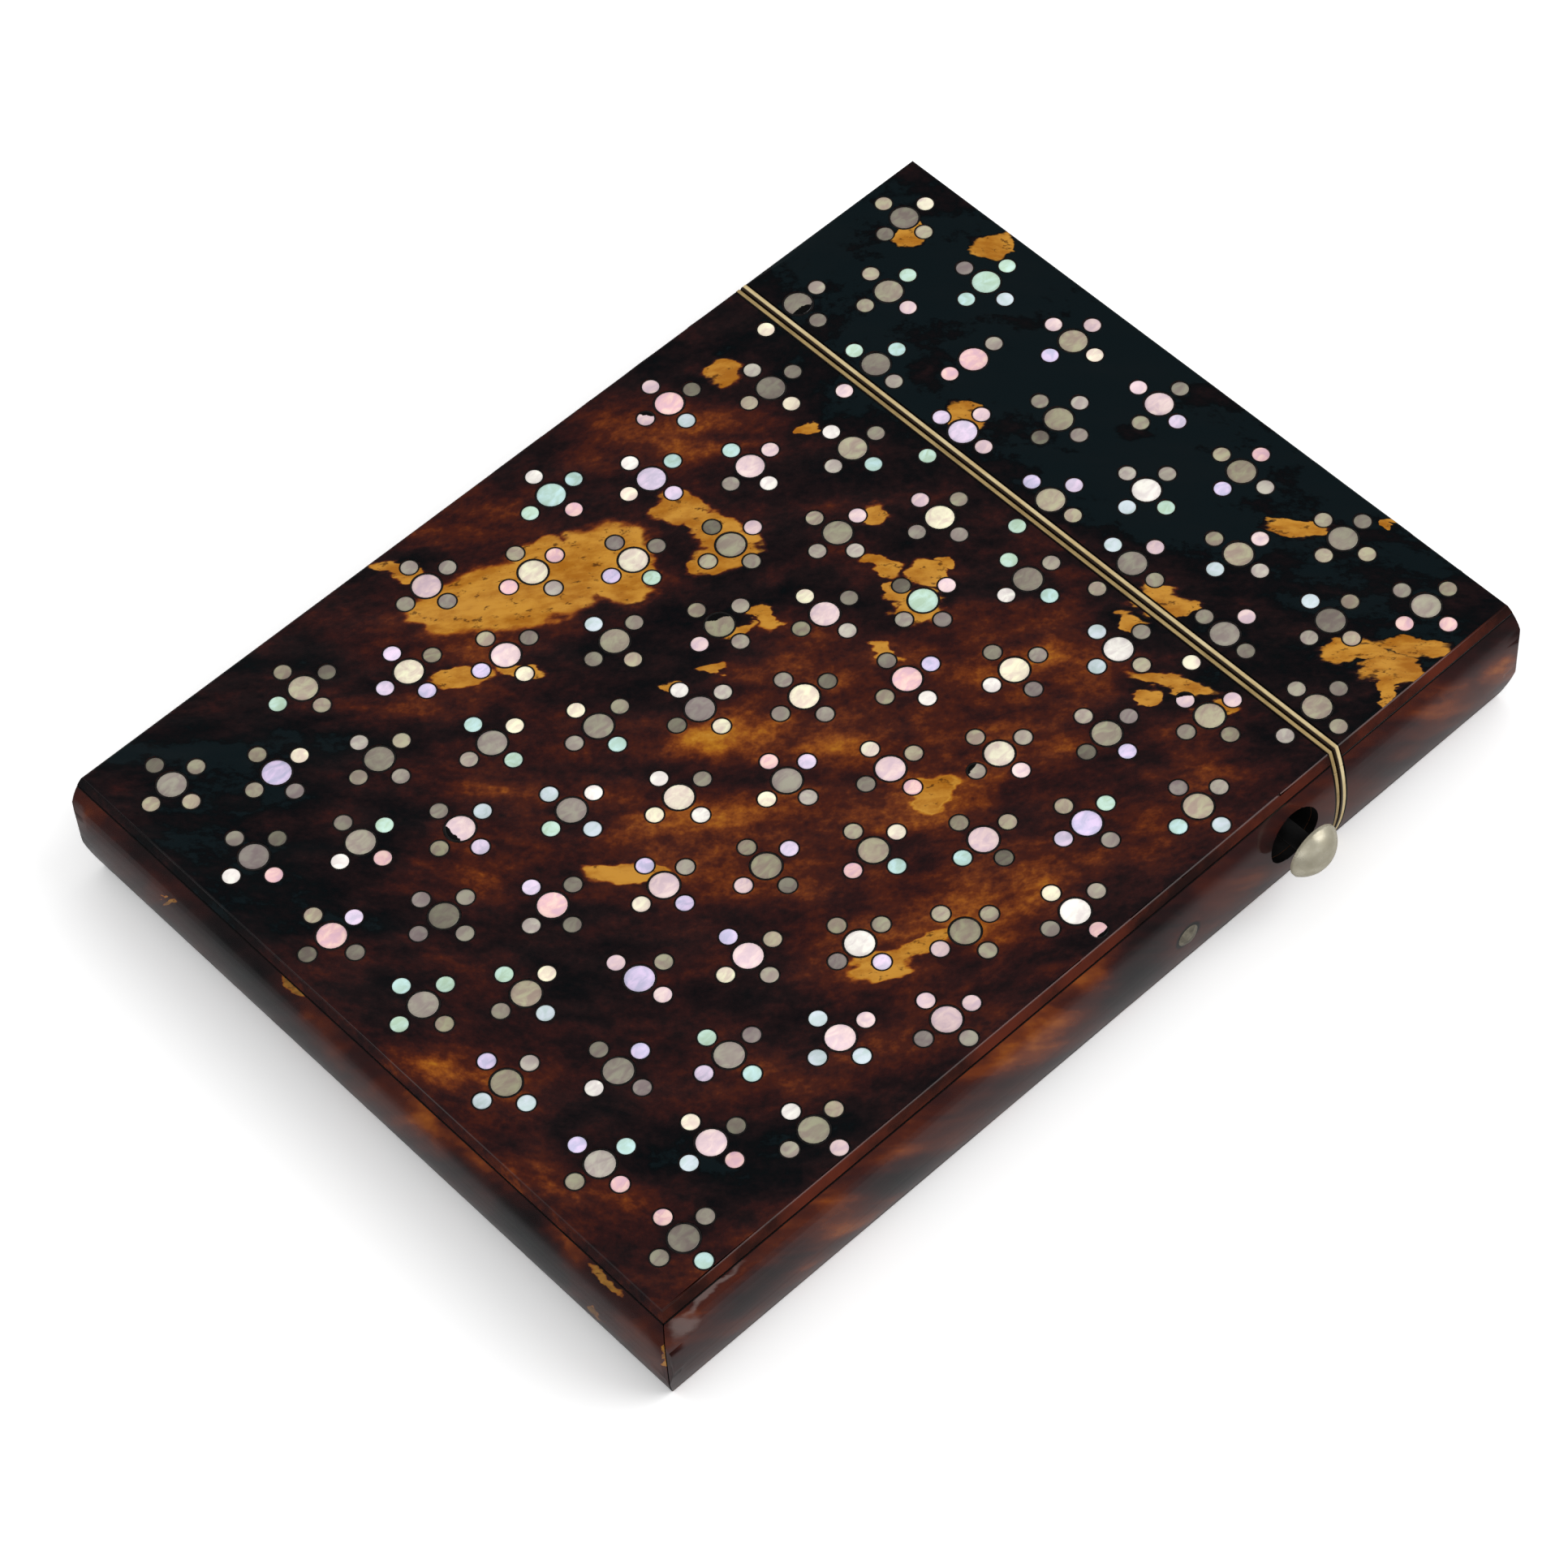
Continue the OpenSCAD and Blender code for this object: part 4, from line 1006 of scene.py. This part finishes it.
def disc_tree():
    tree = bpy.data.node_groups.new("pearl discs in cement", "GeometryNodeTree")
    sockets = [
        ("Geometry", "Geometry", None),
        ("Sides", "Int", SIDES),
        ("Cement Gap", "Float", CEMENT_GAP * MM),
        ("Disc Share", "Float", DISC_SHARE),
        ("Seed", "Int", SEED),
        ("Pearl", "Material", None),
        ("Cement", "Material", None),
    ]
    for name, kind, value in sockets:
        socket = tree.interface.new_socket(name=name, in_out="INPUT", socket_type="NodeSocket" + kind)
        if value is not None:
            socket.default_value = value
    tree.interface.new_socket(name="Geometry", in_out="OUTPUT", socket_type="NodeSocketGeometry")
    given = add(tree, "NodeGroupInput").outputs
    bed, _ = drum(tree, given["Sides"], CEMENT_DEPTH * MM, -CEMENT_SUNK * MM)
    disc = chamfered_disc(tree, given["Sides"])

    radius, flip = [
        add(tree, "GeometryNodeInputNamedAttribute", {"Name": name}, data_type="FLOAT").outputs[0]
        for name in ("disc_radius", "flip")
    ]
    inputs = {2: 0.0, 3: 2 * math.pi, "Seed": given["Seed"]}
    spin = add(tree, "FunctionNodeRandomValue", inputs, data_type="FLOAT").outputs[1]
    turned = add(tree, "ShaderNodeCombineXYZ", {"X": flip, "Z": spin}).outputs[0]
    parts = []
    for shape, change, operation, material in (
        (bed, "Cement Gap", "ADD", "Cement"),
        (disc, "Disc Share", "MULTIPLY", "Pearl"),
    ):
        wide = math_node(tree, operation, radius, given[change])
        scale = add(tree, "ShaderNodeCombineXYZ", {"X": wide, "Y": wide, "Z": 1.0}).outputs[0]
        inputs = {"Points": given["Geometry"], "Instance": shape, "Rotation": turned, "Scale": scale}
        stood = add(tree, "GeometryNodeInstanceOnPoints", inputs).outputs[0]
        if material == "Pearl":
            for number, name in enumerate(DISC_NUMBERS):
                seed = math_node(tree, "ADD", given["Seed"], NUMBERS_SEED + number)
                chance = add(tree, "FunctionNodeRandomValue", {"Seed": seed}, data_type="FLOAT").outputs[1]
                stood = stored(tree, stood, name, chance, "FLOAT", "INSTANCE")
        real = add(tree, "GeometryNodeRealizeInstances", {"Geometry": stood}).outputs[0]
        inputs = {"Geometry": real, "Material": given[material]}
        parts.append(add(tree, "GeometryNodeSetMaterial", inputs).outputs[0])
    joined = add(tree, "GeometryNodeJoinGeometry")
    for part in reversed(parts):
        tree.links.new(part, joined.inputs[0])
    add(tree, "NodeGroupOutput", {"Geometry": joined.outputs[0]})
    return tree


discs_by_nodes = disc_tree()
print("disc tree of", len(discs_by_nodes.nodes), "nodes")

# %% [markdown]
# Body and lid get their discs apart, since the lid swings. The points of each go through the tree with a
# seed of their own, and what comes out becomes one mesh that takes the place of the plain discs.

# %% Inlay both bodies
LID_SEED = 11


def set_inputs(modifier, values):
    """A modifier's inputs are set by their sockets' identifiers"""
    for item in modifier.node_group.interface.items_tree:
        if item.in_out == "INPUT" and item.name in values:
            modifier[item.identifier] = values[item.name]


def inlay(body, seed):
    points, radii, flips = [], [], []
    for name in DISC_NODES[body]:
        front = "front" in name
        for centre, radius, low, high in discs[name]:
            points.append((centre.x, centre.y, high if front else low))
            radii.append(radius)
            flips.append(0.0 if front else math.pi)
    mesh = bpy.data.meshes.new("disc places")
    mesh.from_pydata(points, [], [])
    for name, values in (("disc_radius", radii), ("flip", flips)):
        mesh.attributes.new(name, "FLOAT", "POINT").data.foreach_set("value", values)
    holder = new_object("disc places", mesh)
    modifier = holder.modifiers.new("inlay", "NODES")
    modifier.node_group = discs_by_nodes
    set_inputs(modifier, {"Pearl": nacre, "Cement": cement, "Seed": seed})
    seen = holder.evaluated_get(bpy.context.evaluated_depsgraph_get())
    result = bpy.data.meshes.new_from_object(seen)
    bpy.data.objects.remove(holder)
    while None in list(result.materials):
        result.materials.pop(index=list(result.materials).index(None))
    piece = new_object(body + "_pearl_inlay", result)
    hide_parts(*DISC_NODES[body])
    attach(piece, body)
    return piece


for body, seed in (("case_body", SEED), ("lid", LID_SEED)):
    piece = inlay(body, seed)
    print(piece.name, len(piece.data.polygons), "faces of", [m.name for m in piece.data.materials])

# %% [markdown]
# ## The catch spring
#
# The button stands on a leaf spring that is riveted to the body. When the button is pressed its free end
# goes in while the rivet stays, so the real spring bends. Here it is a plain strip cut into steps along its
# length, tied to neither body, and nothing bends it.

# %% Catch spring
SPRING_STEPS = 28
low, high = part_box("catch_spring")
strip = bmesh.new()
bmesh.ops.create_cube(strip, size=1.0)
bmesh.ops.scale(strip, vec=high - low, verts=strip.verts)
bmesh.ops.translate(strip, vec=(low + high) / 2, verts=strip.verts)
lengthwise = [e for e in strip.edges if abs((e.verts[0].co - e.verts[1].co).x) > (high - low).x / 2]
bmesh.ops.subdivide_edges(strip, edges=lengthwise, cuts=SPRING_STEPS, use_grid_fill=True)
spring_mesh = bpy.data.meshes.new("catch_spring_strip")
strip.to_mesh(spring_mesh)
strip.free()
spring_mesh.materials.append(nickel)
spring = new_object("catch_spring_strip", spring_mesh)
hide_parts("catch_spring")
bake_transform(spring)
print("spring strip", round((high - low).x / MM, 1), "mm long")

# %% [markdown]
# ## At the end
#
# The box of the imported model is printed once more. The finished pieces have to stay inside the box of
# the imported model.

# %% Print the box of the imported model
print("CAD box", [[round(v / MM, 2) for v in c] for c in cad_box])
